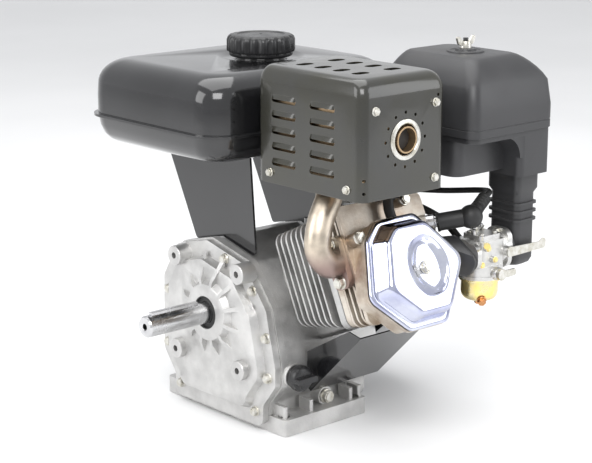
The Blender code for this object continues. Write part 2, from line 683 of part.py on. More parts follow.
def camshaft(skin):
    shaft = rod(8, CASE_X0 - 1, CASE_X1 - CASE_WALL - GAP, 16, CAM)
    top = math.pi - tilt
    gear = prism(gear_outline(CAM_TEETH, MESH_ANGLE + math.pi), GEAR_X, GEAR_X + GEAR_WIDTH, CAM)
    made = fuse(shaft, gear)
    for side in (-1, 1):
        low = CYLINDER_X + side * PUSHROD_SPREAD - LOBE_WIDTH / 2
        high = low + LOBE_WIDTH
        angle = top + side * math.radians(LOBE_SPLIT)
        nose = shift(CAM, LOBE_LIFT * math.cos(angle), LOBE_LIFT * math.sin(angle))
        made = fuse(made, rod(LOBE_BASE, low, high, 18, CAM), rod(LOBE_BASE - 2, low + 0.4, high - 0.4, 18, nose))
    return finish(made, "camshaft", skin)


def valve(side, name, skin):
    place = shift(CYLINDER, side * valve_offset)
    seat = head_foot + CHAMBER_DEPTH
    made = turned([(0, seat - 4.5), (valve_head_radius, seat - 4.5), (valve_head_radius, seat - 2.5),
                   (VALVE_STEM_RADIUS, seat - 0.4), (VALVE_STEM_RADIUS, ROCKER_LEVEL - GAP),
                   (0, ROCKER_LEVEL - GAP)], 20, place)
    return finish(made, name, skin)


def rocker(side, name, skin):
    x = side * (valve_offset + PUSHROD_SPREAD) / 2
    start = (side * valve_offset, 2)
    end = (side * PUSHROD_SPREAD, -PUSHROD_OFFSET - 2)
    width = 5.5
    outline = [(start[0] - width, start[1]), (end[0] - width, end[1]), (end[0] + width, end[1]),
               (start[0] + width, start[1])]
    made = prism(rounded(outline, 4, 2), ROCKER_LEVEL, ROCKER_LEVEL + 4, CYLINDER)
    hub = rod(7.5, ROCKER_LEVEL - 2, ROCKER_LEVEL + 4.4, 14, shift(CYLINDER, x, PIVOT_UP))
    return finish(fuse(made, hub), name, skin)


def pushrod(side, name, skin):
    place = shift(CYLINDER, side * PUSHROD_SPREAD, -PUSHROD_OFFSET)
    foot = cam_along + LOBE_BASE + LOBE_LIFT - 2 + GAP
    made = turned([(0, foot), (8, foot), (8, foot + 4), (4.5, foot + 6), (4.5, foot + 26), (3, foot + 27),
                   (3, ROCKER_LEVEL - 4), (1.5, ROCKER_LEVEL - GAP), (0, ROCKER_LEVEL - GAP)], 12, place)
    return finish(made, name, skin)


# ---------------------------------------------------------------- flywheel end


def flywheel(skin):
    low = HOUSING_X0 + 5
    bore, rim, wide = TAPER_RADIUS + 2 * GAP, FLYWHEEL_RADIUS, FLYWHEEL_WIDTH
    made = turned([(bore, low), (30, low), (34, low + 6), (rim - 14, low + 6), (rim - 12, low), (rim, low),
                   (rim, low + wide), (30, low + wide), (28, low + wide - 4), (bore, low + wide - 4)], 24, CRANK)
    magnets = block((FLYWHEEL_RADIUS - 1, -18, low + 4), (FLYWHEEL_RADIUS + 1.5, 18, low + 22), 0,
                    CRANK @ Matrix.Rotation(0.8, 4, "Z"))
    return finish(fuse(made, magnets), "flywheel", skin)


def cooling_fan(skin):
    low = HOUSING_X0 + 5 + FLYWHEEL_WIDTH + GAP
    made = ring(31, FLYWHEEL_RADIUS - 2, low, low + 2.5, 24, CRANK)
    blades = []
    for k in range(12):
        turn = CRANK @ Matrix.Rotation(2 * math.pi * k / 12, 4, "Z") @ Matrix.Translation((58, 0, 0))
        blades.append(block((-20, -1.3, low + 1), (20, 1.3, low + 13), 0, turn @ Matrix.Rotation(0.45, 4, "Z")))
    return finish(fuse(made, *blades), "cooling_fan", skin)


def starter_cup(skin):
    low = HOUSING_X0 + 28
    made = turned([(8.4, low), (27, low), (29, low + 3), (29, low + 32), (27, low + 32), (27, low + 5), (8.4, low + 5)],
                  24, CRANK)
    nut = prism([(13 * math.cos(a), 13 * math.sin(a)) for a in (math.pi / 3 * k for k in range(6))], low + 4.5,
                low + 14, CRANK)
    made = fuse(made, cut(nut, rod(8.4, low, low + 20, 16, CRANK)))
    return finish(made, "starter_cup", skin)


def housing_top(y):
    """Height of the blower's flat top above a place along Y."""
    start = math.atan2(math.cos(tilt), math.sin(tilt))
    y0, z0 = HOUSING_RADIUS * math.cos(start), CRANK_HEIGHT + HOUSING_RADIUS * math.sin(start)
    y1 = -math.cos(tilt) * HOUSING_REACH + math.sin(tilt) * (HOUSING_RADIUS - 26)
    z1 = CRANK_HEIGHT + math.sin(tilt) * HOUSING_REACH + math.cos(tilt) * (HOUSING_RADIUS - 26)
    return z0 + (z1 - z0) * (y0 - y) / (y0 - y1)


def scroll(radius_by=0.0):
    """The blower outline: a circle round the crankshaft that opens towards the cylinder."""
    radius = HOUSING_RADIUS + radius_by
    across = Vector((-math.cos(tilt), math.sin(tilt)))
    up = Vector((math.sin(tilt), math.cos(tilt)))
    centre = Vector((0, CRANK_HEIGHT))
    start = math.atan2(up.y, up.x)
    steps = 18
    made = []
    for k in range(steps + 1):
        angle = start - math.pi * k / steps
        made.append(centre + Vector((math.cos(angle), math.sin(angle))) * radius)
    reach = HOUSING_REACH + radius_by
    made.append(centre + across * reach - up * (radius - 34))
    made.append(centre + across * reach + up * (radius - 26))
    return [(p.x, p.y) for p in made][::-1]


def fan_housing(skin):
    outer = prism(scroll(), HOUSING_X0, HOUSING_X1, SIDE)
    inner = prism(scroll(-SHEET - 0.5), HOUSING_X0 - TINY, HOUSING_X1 - SHEET, SIDE)
    made = cut(outer, inner, rod(FLYWHEEL_RADIUS + 2, HOUSING_X1 - 10, HOUSING_X1 + TINY, 28, CRANK))
    return finish(made, "fan_housing", skin)


def recoil_housing(skin):
    low = HOUSING_X1 + GAP
    radius = recoil_radius
    made = turned([(radius, low), (radius, low + 22), (radius - 9, RECOIL_X1 - 8), (radius - 22, RECOIL_X1), (0, RECOIL_X1),
                   (0, RECOIL_X1 - SHEET), (radius - 24, RECOIL_X1 - SHEET), (radius - 12, RECOIL_X1 - 9),
                   (radius - SHEET, low + 21), (radius - SHEET, low)], 18, CRANK)
    post = rod(7, RECOIL_X1 - 22, RECOIL_X1 - 1, 12, CRANK)
    mouth = bar(ROPE_EXIT - ROPE_WAY * 16, ROPE_EXIT + ROPE_WAY * 5, 11)
    made = fuse(made, post, mouth)
    slots = []
    for k in range(10):
        turn = CRANK @ Matrix.Rotation(2 * math.pi * (k + 0.5) / 10, 4, "Z")
        slots.append(block((30, -5, RECOIL_X1 - 12), (60, 5, RECOIL_X1 + 4), 0, turn))
    made = cut(made, *slots)
    made = cut(made, bar(ROPE_EXIT - ROPE_WAY * 30, ROPE_EXIT + ROPE_WAY * 8, 4))
    return finish(made, "recoil_housing", skin)


def rope_reel(skin):
    mid = ROPE_X
    made = turned([(7.4, mid - 9), (REEL_RADIUS, mid - 9), (REEL_RADIUS, mid - 6), (REEL_RADIUS - 9, mid - 4),
                   (REEL_RADIUS - 9, mid + 4), (REEL_RADIUS, mid + 6), (REEL_RADIUS, mid + 9), (7.4, mid + 9)],
                  28, CRANK)
    return finish(made, "rope_reel", skin)


def starter_grip(skin):
    centre = ROPE_EXIT + ROPE_WAY * 17
    turn = Matrix((( ROPE_UP.x, 1, ROPE_WAY.x, 0), (ROPE_UP.y, 0, ROPE_WAY.y, 0), (ROPE_UP.z, 0, ROPE_WAY.z, 0),
                   (0, 0, 0, 1)))
    place = Matrix.Translation(centre) @ turn
    handle = loft([(rectangle(-40, -10, 40, 10, 9, 3), -7), (rectangle(-46, -13, 46, 13, 11, 3), -1),
                   (rectangle(-44, -12, 44, 12, 11, 3), 7), (rectangle(-36, -7, 36, 7, 6, 3), 12)], place)
    neck = bar(ROPE_EXIT + ROPE_WAY * 5.4, centre, 7)
    return finish(fuse(handle, neck), "starter_grip", skin)


# ---------------------------------------------------------------- exhaust, tank and intake


def guard_box(by, low_by=0.0):
    low, high = GUARD_LOW, GUARD_HIGH
    wide = rectangle(low.x - by, low.y - by, high.x + by, high.y + by, 12 + by, 3)
    narrow = rectangle(low.x - by + 12, low.y - by + 16, high.x + by - 12, high.y + by - 8, 12 + by, 3)
    return loft([(wide, low.z - low_by), (wide, high.z - 17 + by), (narrow, high.z + by)])


def muffler_guard(skin):
    made = cut(guard_box(0), guard_box(-1.6, TINY))
    low, high = GUARD_LOW, GUARD_HIGH
    made = cut(made, rod(OUTLET_RADIUS + 6, -low.y - 6, -low.y + 6, 20, shift(FRONT, OUTLET.x, OUTLET.z)))
    for column in (-115, -178):
        for row in range(5):
            z = high.z - 36 - 18 * row
            made = cut(made, block((low.x - 4, column - 22, z - 3), (low.x + 4, column + 18, z + 3)))
    for column in range(2):
        for row in range(4):
            x, y = low.x + 40 + 48 * column, low.y + 44 + 30 * row
            made = cut(made, rod(9, high.z - 6, high.z + 4, 12, shift(WORLD, x, y)))
    return finish(made, "muffler_guard", skin)


def muffler(skin):
    low, high = MUFFLER_LOW, MUFFLER_HIGH
    small = rectangle(low.x + 8, low.y + 8, high.x - 8, high.y - 8, 10, 2)
    large = rectangle(low.x, low.y, high.x, high.y, 16, 2)
    made = loft([(small, low.z), (large, low.z + 10), (large, high.z - 10), (small, high.z)])
    pipe = rod(OUTLET_RADIUS, -low.y - 10, -OUTLET.y + 3, 18, shift(FRONT, OUTLET.x, OUTLET.z))
    made = fuse(made, pipe)
    small = rectangle(low.x + 9.5, low.y + 9.5, high.x - 9.5, high.y - 9.5, 9, 2)
    large = rectangle(low.x + 1.5, low.y + 1.5, high.x - 1.5, high.y - 1.5, 15, 2)
    hollow = loft([(small, low.z + 1.5), (large, low.z + 11), (large, high.z - 11), (small, high.z - 1.5)])
    made = cut(made, hollow, rod(OUTLET_RADIUS - 2, -low.y - 20, -OUTLET.y + 6, 18, shift(FRONT, OUTLET.x, OUTLET.z)))
    return finish(made, "muffler", skin)


def exhaust_pipe(skin):
    start = EXHAUST_PORT + Vector((-7.5, 0, 0))
    end = Vector((-46, start.y + 14, MUFFLER_LOW.z - 3.4))
    path = [start, start + Vector((-14, 0, 2)), start + Vector((-25, 3, 20)), start + Vector((-18, 7, 48)),
            end + Vector((0, 0, -16)), end]
    pipe = tube(path, 15, 3, 3)
    flange = block((-30, -13, EXHAUST_PORT.x - 8), (30, 13, EXHAUST_PORT.x - GAP), 8, port(EXHAUST_PORT))
    return finish(fuse(pipe, flange), "exhaust_pipe", skin)


def tank_sections(by, floor, roof):
    low, high = TANK_LOW, TANK_HIGH
    levels = [(floor, 26), (floor + 9, 8), (low.z + 34, 0), (high.z - 26, 2), (high.z - 9, 9), (roof, 30)]
    made = []
    for height, inset in levels:
        d = inset - by
        corner = max(34 - inset * 0.4 + by, 8)
        made.append((rectangle(low.x + d, low.y + d, high.x - d, high.y - d, corner, 3), height))
    return made


def leg_outline():
    """A tank leg, which stands on the crankcase's ridge and ends inside the tank's floor."""
    ridge_y, ridge_z = CASE_OUTLINE[6]
    foot = ridge_z + LEG_FOOT_GAP
    top = TANK_LOW.z + 6
    return [(ridge_y - 62, foot - 14.5), (ridge_y - 2, foot), (ridge_y + 48, foot - 12), (126, top), (-34, top)]


def fuel_tank(skin):
    made = loft(tank_sections(0, TANK_LOW.z, TANK_HIGH.z))
    seam = block((TANK_LOW.x - 4, TANK_LOW.y - 4, TANK_LOW.z + 33), (TANK_HIGH.x + 4, TANK_HIGH.y + 4, TANK_LOW.z + 36), 36)
    neck = rod(NECK_RADIUS, TANK_HIGH.z - 2, TANK_HIGH.z + 8, 24, shift(WORLD, CAP_X, CAP_Y))
    spout = rod(6, TANK_LOW.z - 9, TANK_LOW.z + 6, 12, shift(WORLD, *HOSE_TOP))
    legs = [prism(leg_outline(), x, x + LEG_THICK, SIDE) for x in LEG_PLACES]
    made = fuse(made, seam, neck, spout, *legs)
    made = cut(made, loft(tank_sections(-SHEET, TANK_LOW.z + SHEET, TANK_HIGH.z - SHEET)))
    made = cut(made, rod(NECK_RADIUS - 3, TANK_HIGH.z - 12, TANK_HIGH.z + 10, 24, shift(WORLD, CAP_X, CAP_Y)))
    made = cut(made, rod(3, TANK_LOW.z - 12, TANK_LOW.z + 12, 10, shift(WORLD, *HOSE_TOP)))
    return finish(made, "fuel_tank", skin)


def tank_cap(skin):
    foot = TANK_HIGH.z + GAP
    crown = foot + 26
    r = CAP_RADIUS
    made = turned([(NECK_RADIUS + 1, foot), (r - 5, foot), (r - 4, foot + 6), (r, foot + 8), (r, crown - 5), (r - 5, crown),
                   (0, crown), (0, foot + 11), (NECK_RADIUS + 1, foot + 11)], 20, shift(WORLD, CAP_X, CAP_Y))
    return finish(made, "tank_cap", skin)


def air_cleaner_base(skin):
    low, high = CLEANER_LOW, CLEANER_HIGH
    body = block((low.x + 5, low.y + 30, low.z + 6), (high.x - 4, high.y - 2, CLEANER_SPLIT), 14)
    leg = block((high.x - 56, low.y + 3, low.z), (high.x - 3, high.y - 50, CLEANER_SPLIT), 8)
    lip = block((low.x + 3, low.y + 3, CLEANER_SPLIT - 6), (high.x - 3, high.y - 3, CLEANER_SPLIT), 13)
    made = fuse(body, leg, lip)
    inside = block((low.x + 8, low.y + 33, low.z + 9), (high.x - 7, high.y - 5, CLEANER_SPLIT + TINY), 11)
    made = cut(made, inside)
    stud = rod(STUD_RADIUS, low.z + 6, high.z + 16, 10, shift(WORLD, *STUD))
    made = fuse(made, rod(10, low.z + 6, low.z + 22, 12, shift(WORLD, *STUD)), stud)
    made = cut(made, rod(15, low.z - 4, low.z + 30, 16, shift(WORLD, *ELBOW)))
    return finish(made, "air_cleaner_base", skin)


def air_filter(skin):
    low = CLEANER_LOW.z + 9 + GAP
    high = CLEANER_HIGH.z - 30
    x, y = STUD
    outer = rectangle(x - 46, y - 40, x + 46, y + 54, 14, 3)
    inner = rectangle(x - 26, y - 22, x + 26, y + 34, 8, 3)
    made = cut(prism(outer, low + 14, high), prism(inner, low, high + 2))
    made = cut(made, rod(10.5, low - 2, low + 16, 12, shift(WORLD, *STUD)))
    return finish(made, "air_filter", skin)


def air_cleaner_cover(skin):
    def shell(by, foot):
        low, high = CLEANER_LOW, CLEANER_HIGH
        wide = rectangle(low.x - by, low.y - by, high.x + by, high.y + by, 14 + by, 3)
        mid = rectangle(low.x - by + 4, low.y - by + 5, high.x + by - 3, high.y + by - 4, 14 + by, 3)
        top = rectangle(low.x - by + 30, low.y - by + 32, high.x + by - 34, high.y + by - 16, 12 + by, 3)
        return loft([(wide, foot), (wide, high.z - 58), (mid, high.z - 26 + by), (top, high.z + by)])

    made = cut(shell(0, CLEANER_SPLIT + GAP), shell(-2.4, CLEANER_SPLIT - TINY))
    pad = rod(16, CLEANER_HIGH.z - 4, CLEANER_HIGH.z + 4, 20, shift(WORLD, *STUD))
    made = fuse(made, pad)
    made = cut(made, rod(STUD_RADIUS + 2 * GAP, CLEANER_HIGH.z - 12, CLEANER_HIGH.z + 8, 12, shift(WORLD, *STUD)))
    return finish(made, "air_cleaner_cover", skin)


def wing_nut(skin):
    place = shift(WORLD, *STUD)
    low = CLEANER_HIGH.z + 4 + GAP
    hub = turned([(3.5, low), (7, low), (6, low + 8), (3.5, low + 8)], 16, place)
    wings = []
    for side in (-1, 1):
        outline = [(side * 4.6, low + 2), (side * 14, low + 6), (side * 16, low + 13), (side * 12, low + 14),
                   (side * 5, low + 7)]
        wings.append(prism(outline, -1.4, 1.4, shift(FRONT, STUD[0], 0, -STUD[1])))
    return finish(fuse(hub, *wings), "wing_nut", skin)


def intake_elbow(skin):
    x, y = ELBOW
    top = CLEANER_LOW.z - GAP
    outer = rectangle(x - 17, y - 22, x + 17, y + 22, 8, 2)
    flare = rectangle(x - 20, y - 25, x + 20, y + 25, 8, 2)
    pillar = loft([(outer, CARB_Z - 24), (outer, top - 26), (flare, top - 20), (flare, top)])
    collar = rod(19, CARB_X1 + GAP, x, 20, CARB)
    made = fuse(pillar, collar)
    inner = rectangle(x - 14.5, y - 19.5, x + 14.5, y + 19.5, 6, 2)
    made = cut(made, prism(inner, CARB_Z - 21, top + TINY), rod(14, CARB_X1 - 5, x, 20, CARB))
    return finish(made, "intake_elbow", skin)


def carburetor_body(skin):
    barrel = rod(18, CARB_X0, CARB_X1, 20, CARB)
    inlet = prism(rectangle(-26, -16, 26, 16, 12, 2), CARB_X0, CARB_X0 + 7, CARB)
    outlet = prism(rectangle(-18, -24, 18, 24, 12, 2), CARB_X1 - 7, CARB_X1, CARB)
    tower = block((CARB_X0 + 14, CARB_Y - 20, CARB_Z - 22), (CARB_X1 - 14, CARB_Y + 20, CARB_Z + 22), 6)
    bowl_top = rod(25, CARB_Z - 30, CARB_Z - 14, 20, shift(WORLD, BOWL_X, CARB_Y))
    boss = rod(6, -CARB_Y + 14, -CARB_Y + 25, 12, shift(FRONT, CHOKE_X, CARB_Z))
    cock = rod(8, -CARB_Y + 22, -CARB_Y + 31, 14, shift(FRONT, BOWL_X, CARB_Z - 22))
    made = fuse(barrel, inlet, outlet, tower, bowl_top, boss, cock)
    made = cut(made, rod(12.5, CARB_X0 - TINY, CARB_X1 + TINY, 20, CARB))
    made = cut(made, rod(2.5 + GAP, -CARB_Y + 4, -CARB_Y + 36, 12, shift(FRONT, CHOKE_X, CARB_Z)))
    return finish(made, "carburetor_body", skin)


def float_bowl(skin):
    top = CARB_Z - 30 - GAP
    made = turned([(0, top - 29), (7, top - 29), (16, top - 27), (22, top - 20), (22, top - 3), (24.5, top - 3),
                   (24.5, top), (20, top), (20, top - 19), (14, top - 24), (0, top - 24)], 24,
                  shift(WORLD, BOWL_X, CARB_Y))
    return finish(made, "float_bowl", skin)


def insulator_block(skin):
    """The heat insulator between head and carburettor, which also carries the flow forward."""
    start, end = CYLINDER_X + FIN_HALF_WIDTH + GAP, CARB_X0 - GAP
    angle = math.pi / 2 - tilt
    near = [(x * math.cos(angle) - y * math.sin(angle) + INTAKE_PORT.y,
             x * math.sin(angle) + y * math.cos(angle) + INTAKE_PORT.z)
            for x, y in rectangle(-19, -13, 19, 13, 9, 2)]
    far = [(x * math.cos(angle / 2) - y * math.sin(angle / 2) + CARB_Y,
            x * math.sin(angle / 2) + y * math.cos(angle / 2) + CARB_Z) for x, y in rectangle(-25, -15, 25, 15, 9, 2)]
    body = loft([(near, start), (near, start + 4), (far, end - 4), (far, end)], SIDE)
    way = aim((start - 1, INTAKE_PORT.y, INTAKE_PORT.z), (end + 1, CARB_Y, CARB_Z))
    length = (Vector((end + 1, CARB_Y, CARB_Z)) - Vector((start - 1, INTAKE_PORT.y, INTAKE_PORT.z))).length
    return finish(cut(body, rod(10, -6, length + 6, 16, way)), "insulator_block", skin)


# ---------------------------------------------------------------- small outside pieces


def lower_shroud(skin):
    """The folded sheet that guides the cooling air under the cylinder: a face and one side flange."""
    outline = [(-196, 132), (-112, 48), (-106, 52), (-106, 96), (-176, 136)]
    outer = prism(outline, SHROUD_X0, SHROUD_X1, SIDE)
    pocket = prism([(-198, 137), (-110, 51.5), (-100, 54), (-100, 160), (-190, 160)], SHROUD_X0 + SHEET, 200, SIDE)
    return finish(cut(outer, pocket), "lower_shroud", skin)


def ignition_coil(skin):
    low, high = FLYWHEEL_RADIUS + 4.2, FLYWHEEL_RADIUS + 14
    made = block((low, -17, HOUSING_X0 + 10), (high, 17, HOUSING_X0 + 26), 2, CRANK @ Matrix.Rotation(2.3, 4, "Z"))
    return finish(made, "ignition_coil", skin)


def spark_plug(skin):
    place = aim(PLUG_TIP, PLUG_SEAT)
    seat = (PLUG_SEAT - PLUG_TIP).length
    made = turned([(0, 4), (6.6, 4), (6.6, seat + 0.6), (10.5, seat + 0.6), (10.5, seat + 9), (5.5, seat + 10),
                   (4.5, seat + 26), (0, seat + 26)], 16, place)
    return finish(made, "spark_plug", skin)


def plug_cap(skin):
    start = PLUG_SEAT + PLUG_WAY * 12
    boot = bar(start, BALL, 11, 16)
    ball = turned([(0, -14), (8, -11.5), (12.5, -6), (14, 0), (12.5, 6), (8, 11.5), (0, 14)], 16, aim(BALL, LEAD_START))
    made = fuse(boot, ball, bar(BALL, LEAD_START, 8))
    made = cut(made, bar(start - PLUG_WAY * 2, start + PLUG_WAY * 20, 6, 12))
    return finish(made, "plug_cap", skin)


def ignition_lead(skin):
    start = LEAD_START + LEAD_WAY * 1.4
    last = Vector((LEAD_END_X, LEAD_END_Y, housing_top(LEAD_END_Y) + 1.3))
    made = tube([start, start + LEAD_WAY * 10, (178, -184, 272), (164, -138, 266), (140, -90, 264), (125, -58, 262),
                 last + Vector((0, 0, 8)), last], 3.5, 2, 3)
    return finish(made, "ignition_lead", skin)


def fuel_hose(skin):
    x, y = HOSE_TOP
    z = CARB_Z + 6
    made = tube([(x, y, TANK_LOW.z - 9.5), (x, y - 4, 288), (x + 8, y - 42, 268), (x + 26, -112, 254),
                 (BOWL_X - 2, CARB_Y + 62, z + 22), (BOWL_X, CARB_Y + 32, z + 2), (BOWL_X, CARB_Y + 20.4, z)], 4.5, 2, 3)
    return finish(made, "fuel_hose", skin)


def breather_hose(skin):
    start = on_cylinder(0, COVER_OUTLINE[1][1] + COVER_SHIFT + 1, head_top + 13)
    top = CLEANER_LOW.z + 6 - GAP
    up = (on_cylinder(0, 1, 0) - on_cylinder(0, 0, 0)).normalized()
    made = tube([start, start + up * 14, start + up * 26 + Vector((7, 0, 0)), (62, -176, 290), (90, -166, 290),
                 (116, -151, 289), (129, -144.5, 293), (132, -144, top - 5), (132, -144, top - 0.8)], 6, 2, 2)
    return finish(made, "breather_hose", skin)


def oil_dipstick(skin):
    place = shift(FRONT, FILLER_X, FILLER_Z)
    face = filler_face
    knob = turned([(0, face + GAP), (13, face + GAP), (13, face + 5), (15.5, face + 6), (15.5, face + 14), (12, face + 17),
                   (0, face + 17)], 20, place)
    stem = rod(8, face - 14, face + 1, 12, place)
    stick = block((-2.5, -1, face - 52), (2.5, 1, face - 13), 0, place)
    tab = block((-15, -3.5, face + 14), (15, 3.5, face + 24), 3, place)
    return finish(fuse(knob, stem, stick, tab), "oil_dipstick", skin)


def control_bracket(skin):
    """A plate that stands on the blower's flat top and carries the throttle lever and the stop switch."""
    front, back = housing_top(-44) + GAP, housing_top(22) + GAP
    plate = prism([(-44, front), (22, back), (22, 300), (-44, 300)], BRACKET_X, BRACKET_X + 3, SIDE)
    foot = prism([(-44, front), (22, back), (22, back + 3), (-44, front + 3)], BRACKET_X, BRACKET_X + 20, SIDE)
    made = cut(fuse(plate, foot), rod(4 + GAP, 120, 135, 12, LEVER_PIVOT), rod(7, 120, 135, 14, SWITCH_PLACE))
    return finish(made, "control_bracket", skin)


def throttle_lever(skin):
    face = BRACKET_X + 3
    arm = prism(rounded([(-7, -8), (7, -8), (6, 32), (-6, 32)], 3, 2), face + 0.6, face + 3.4, LEVER_PIVOT)
    pin = rod(4, face - 4, face + 6, 12, LEVER_PIVOT)
    knob = rod(9, face + 0.8, face + 22, 16, shift(LEVER_PIVOT, 0, 32))
    return finish(fuse(arm, pin, knob), "throttle_lever", skin)


def stop_switch(skin):
    place = SWITCH_PLACE
    face = BRACKET_X + 3
    made = turned([(0, face - 5), (6.6, face - 5), (6.6, face + GAP), (12, face + GAP), (12, face + 7), (10, face + 9),
                   (0, face + 9)], 18, place)
    grip = block((-2.5, -9, face + 8), (2.5, 9, face + 15), 1.5, place)
    return finish(fuse(made, grip), "stop_switch", skin)


def governor_arm(skin):
    place = GOVERNOR_PIVOT
    arm = prism(rounded([(-7, -8), (7, -8), (5, 66), (-5, 66)], 3, 2), 61, 63.5, place)
    pin = rod(3, 46, 66, 12, place)
    made = cut(fuse(arm, pin), rod(1.8 + GAP, 58, 66, 10, shift(place, 0, 60)))
    return finish(made, "governor_arm", skin)


def choke_lever(skin):
    place = shift(FRONT, CHOKE_X, CARB_Z)
    face = -CARB_Y + 25 + GAP
    pin = rod(2.5, -CARB_Y + 6, face + 2.5, 12, place)
    arm = prism(rounded([(-6, -6), (-6, 6), (50, 4), (58, 8), (62, 4), (60, -5), (50, -5)], 2, 1), face, face + 2.5,
                place)
    return finish(fuse(pin, arm), "choke_lever", skin)


def fuel_cock_lever(skin):
    place = shift(FRONT, BOWL_X, CARB_Z - 22)
    face = -CARB_Y + 31 + GAP
    hub = rod(7, face, face + 5, 14, place)
    arm = prism(rounded([(-4, -4.5), (-4, 4.5), (24, 4), (24, -4)], 2, 1), face + 2, face + 5, place)
    return finish(fuse(hub, arm), "fuel_cock_lever", skin)


def valve_cover_bolt(skin):
    place = shift(CYLINDER, 0, COVER_SHIFT, cover_foot + COVER_RISE - DISH_DEPTH + GAP)
    return finish(hex_bolt(place, 12, 8, 12, 4), "valve_cover_bolt", skin, 25)


def oil_drain_bolt(skin):
    return finish(hex_bolt(shift(FRONT, DRAIN_X, DRAIN_Z, DRAIN_Y + GAP), 14, 9), "oil_drain_bolt", skin, 25)


def build():
    for obj in list(bpy.data.objects):
        bpy.data.objects.remove(obj)
    cast = material("cast_aluminium", (0.72, 0.71, 0.69), 0.45, 0.9)
    iron = material("cast_iron", (0.28, 0.28, 0.28), 0.6, 0.9)
    steel = material("steel", (0.62, 0.62, 0.64), 0.3, 1.0)
    chrome = material("chrome", (0.85, 0.87, 0.92), 0.08, 1.0)
    zinc = material("zinc", (0.75, 0.74, 0.7), 0.3, 1.0)
    brass = material("brass", (0.85, 0.68, 0.3), 0.3, 1.0)
    pipe = material("pipe_steel", (0.6, 0.55, 0.48), 0.45, 0.9)
    black = material("black_paint", (0.02, 0.02, 0.022), 0.25)
    plastic = material("black_plastic", (0.035, 0.035, 0.037), 0.45)
    rubber = material("rubber", (0.02, 0.02, 0.02), 0.7)
    foam = material("filter_paper", (0.75, 0.6, 0.35), 0.9)
    red = material("red_plastic", (0.6, 0.02, 0.02), 0.4)

    cylinder_block(cast)
    cylinder_liner(iron)
    side_cover(cast)
    main_bearing("pto_bearing", CASE_X0 - 17.5, steel)
    main_bearing("fan_bearing", CASE_X1 - 20.5, steel)
    pto_seal(rubber)
    cylinder_head(cast)
    head_gasket(iron)
    valve_cover(chrome)
    valve_cover_gasket(rubber)
    valve_cover_bolt(zinc)
    valve_spring(1, "intake_spring", steel)
    valve_spring(-1, "exhaust_spring", steel)
    piston(cast)
    wrist_pin(steel)
    exhaust_pipe(pipe)
    muffler(pipe)
    muffler_guard(black)
    fuel_tank(black)
    fuel_hose(rubber)
    carburetor_body(cast)
    float_bowl(brass)
    oil_drain_bolt(zinc)
    insulator_block(plastic)
    air_cleaner_base(plastic)
    air_filter(foam)
    intake_elbow(plastic)
    fan_housing(black)
    recoil_housing(black)
    lower_shroud(black)
    ignition_coil(plastic)
    spark_plug(steel)
    plug_cap(rubber)
    ignition_lead(rubber)
    breather_hose(rubber)
    control_bracket(zinc)
    rocker_x = (valve_offset + PUSHROD_SPREAD) / 2
    pivot(crankshaft(steel), (0, 0, CRANK_HEIGHT))
    pivot(shaft_key(steel), (0, 0, CRANK_HEIGHT))
    pivot(flywheel(iron), (0, 0, CRANK_HEIGHT))
    pivot(cooling_fan(plastic), (0, 0, CRANK_HEIGHT))
    pivot(starter_cup(steel), (0, 0, CRANK_HEIGHT))
    pivot(camshaft(iron), CAM_CENTRE)
    pivot(valve(1, "intake_valve", steel), on_cylinder(valve_offset, 0, head_foot))
    pivot(valve(-1, "exhaust_valve", steel), on_cylinder(-valve_offset, 0, head_foot))
    pivot(rocker(1, "intake_rocker", steel), on_cylinder(rocker_x, PIVOT_UP, ROCKER_LEVEL))
    pivot(rocker(-1, "exhaust_rocker", steel), on_cylinder(-rocker_x, PIVOT_UP, ROCKER_LEVEL))
    pivot(pushrod(1, "intake_pushrod", steel), on_cylinder(PUSHROD_SPREAD, -PUSHROD_OFFSET, 0))
    pivot(pushrod(-1, "exhaust_pushrod", steel), on_cylinder(-PUSHROD_SPREAD, -PUSHROD_OFFSET, 0))
    pivot(tank_cap(plastic), (CAP_X, CAP_Y, TANK_HIGH.z))
    pivot(oil_dipstick(plastic), (FILLER_X, -filler_face, FILLER_Z))
    pivot(air_cleaner_cover(plastic), (*STUD, CLEANER_HIGH.z))
    pivot(wing_nut(zinc), (*STUD, CLEANER_HIGH.z))
    pivot(rope_reel(plastic), (ROPE_X, 0, CRANK_HEIGHT))
    pivot(starter_grip(plastic), ROPE_EXIT)
    pivot(throttle_lever(zinc), (BRACKET_X, LEVER_Y, LEVER_Z))
    pivot(choke_lever(zinc), (CHOKE_X, CARB_Y, CARB_Z))
    pivot(fuel_cock_lever(zinc), (BOWL_X, CARB_Y, CARB_Z - 22))
    pivot(stop_switch(red), (BRACKET_X, SWITCH_Y, SWITCH_Z))
    pivot(governor_arm(zinc), (FIN_HALF_WIDTH, GOVERNOR_Y, GOVERNOR_Z))


build()
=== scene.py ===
"""Looks of the small air-cooled gasoline engine.

Lengths are in millimetres until a piece is finished, which turns its mesh into metres.
The crankshaft lies along X, the output shaft points along -X and the cylinder leans towards -Y.
"""

import json
import math

import bmesh
import bpy
from mathutils import Matrix, Vector

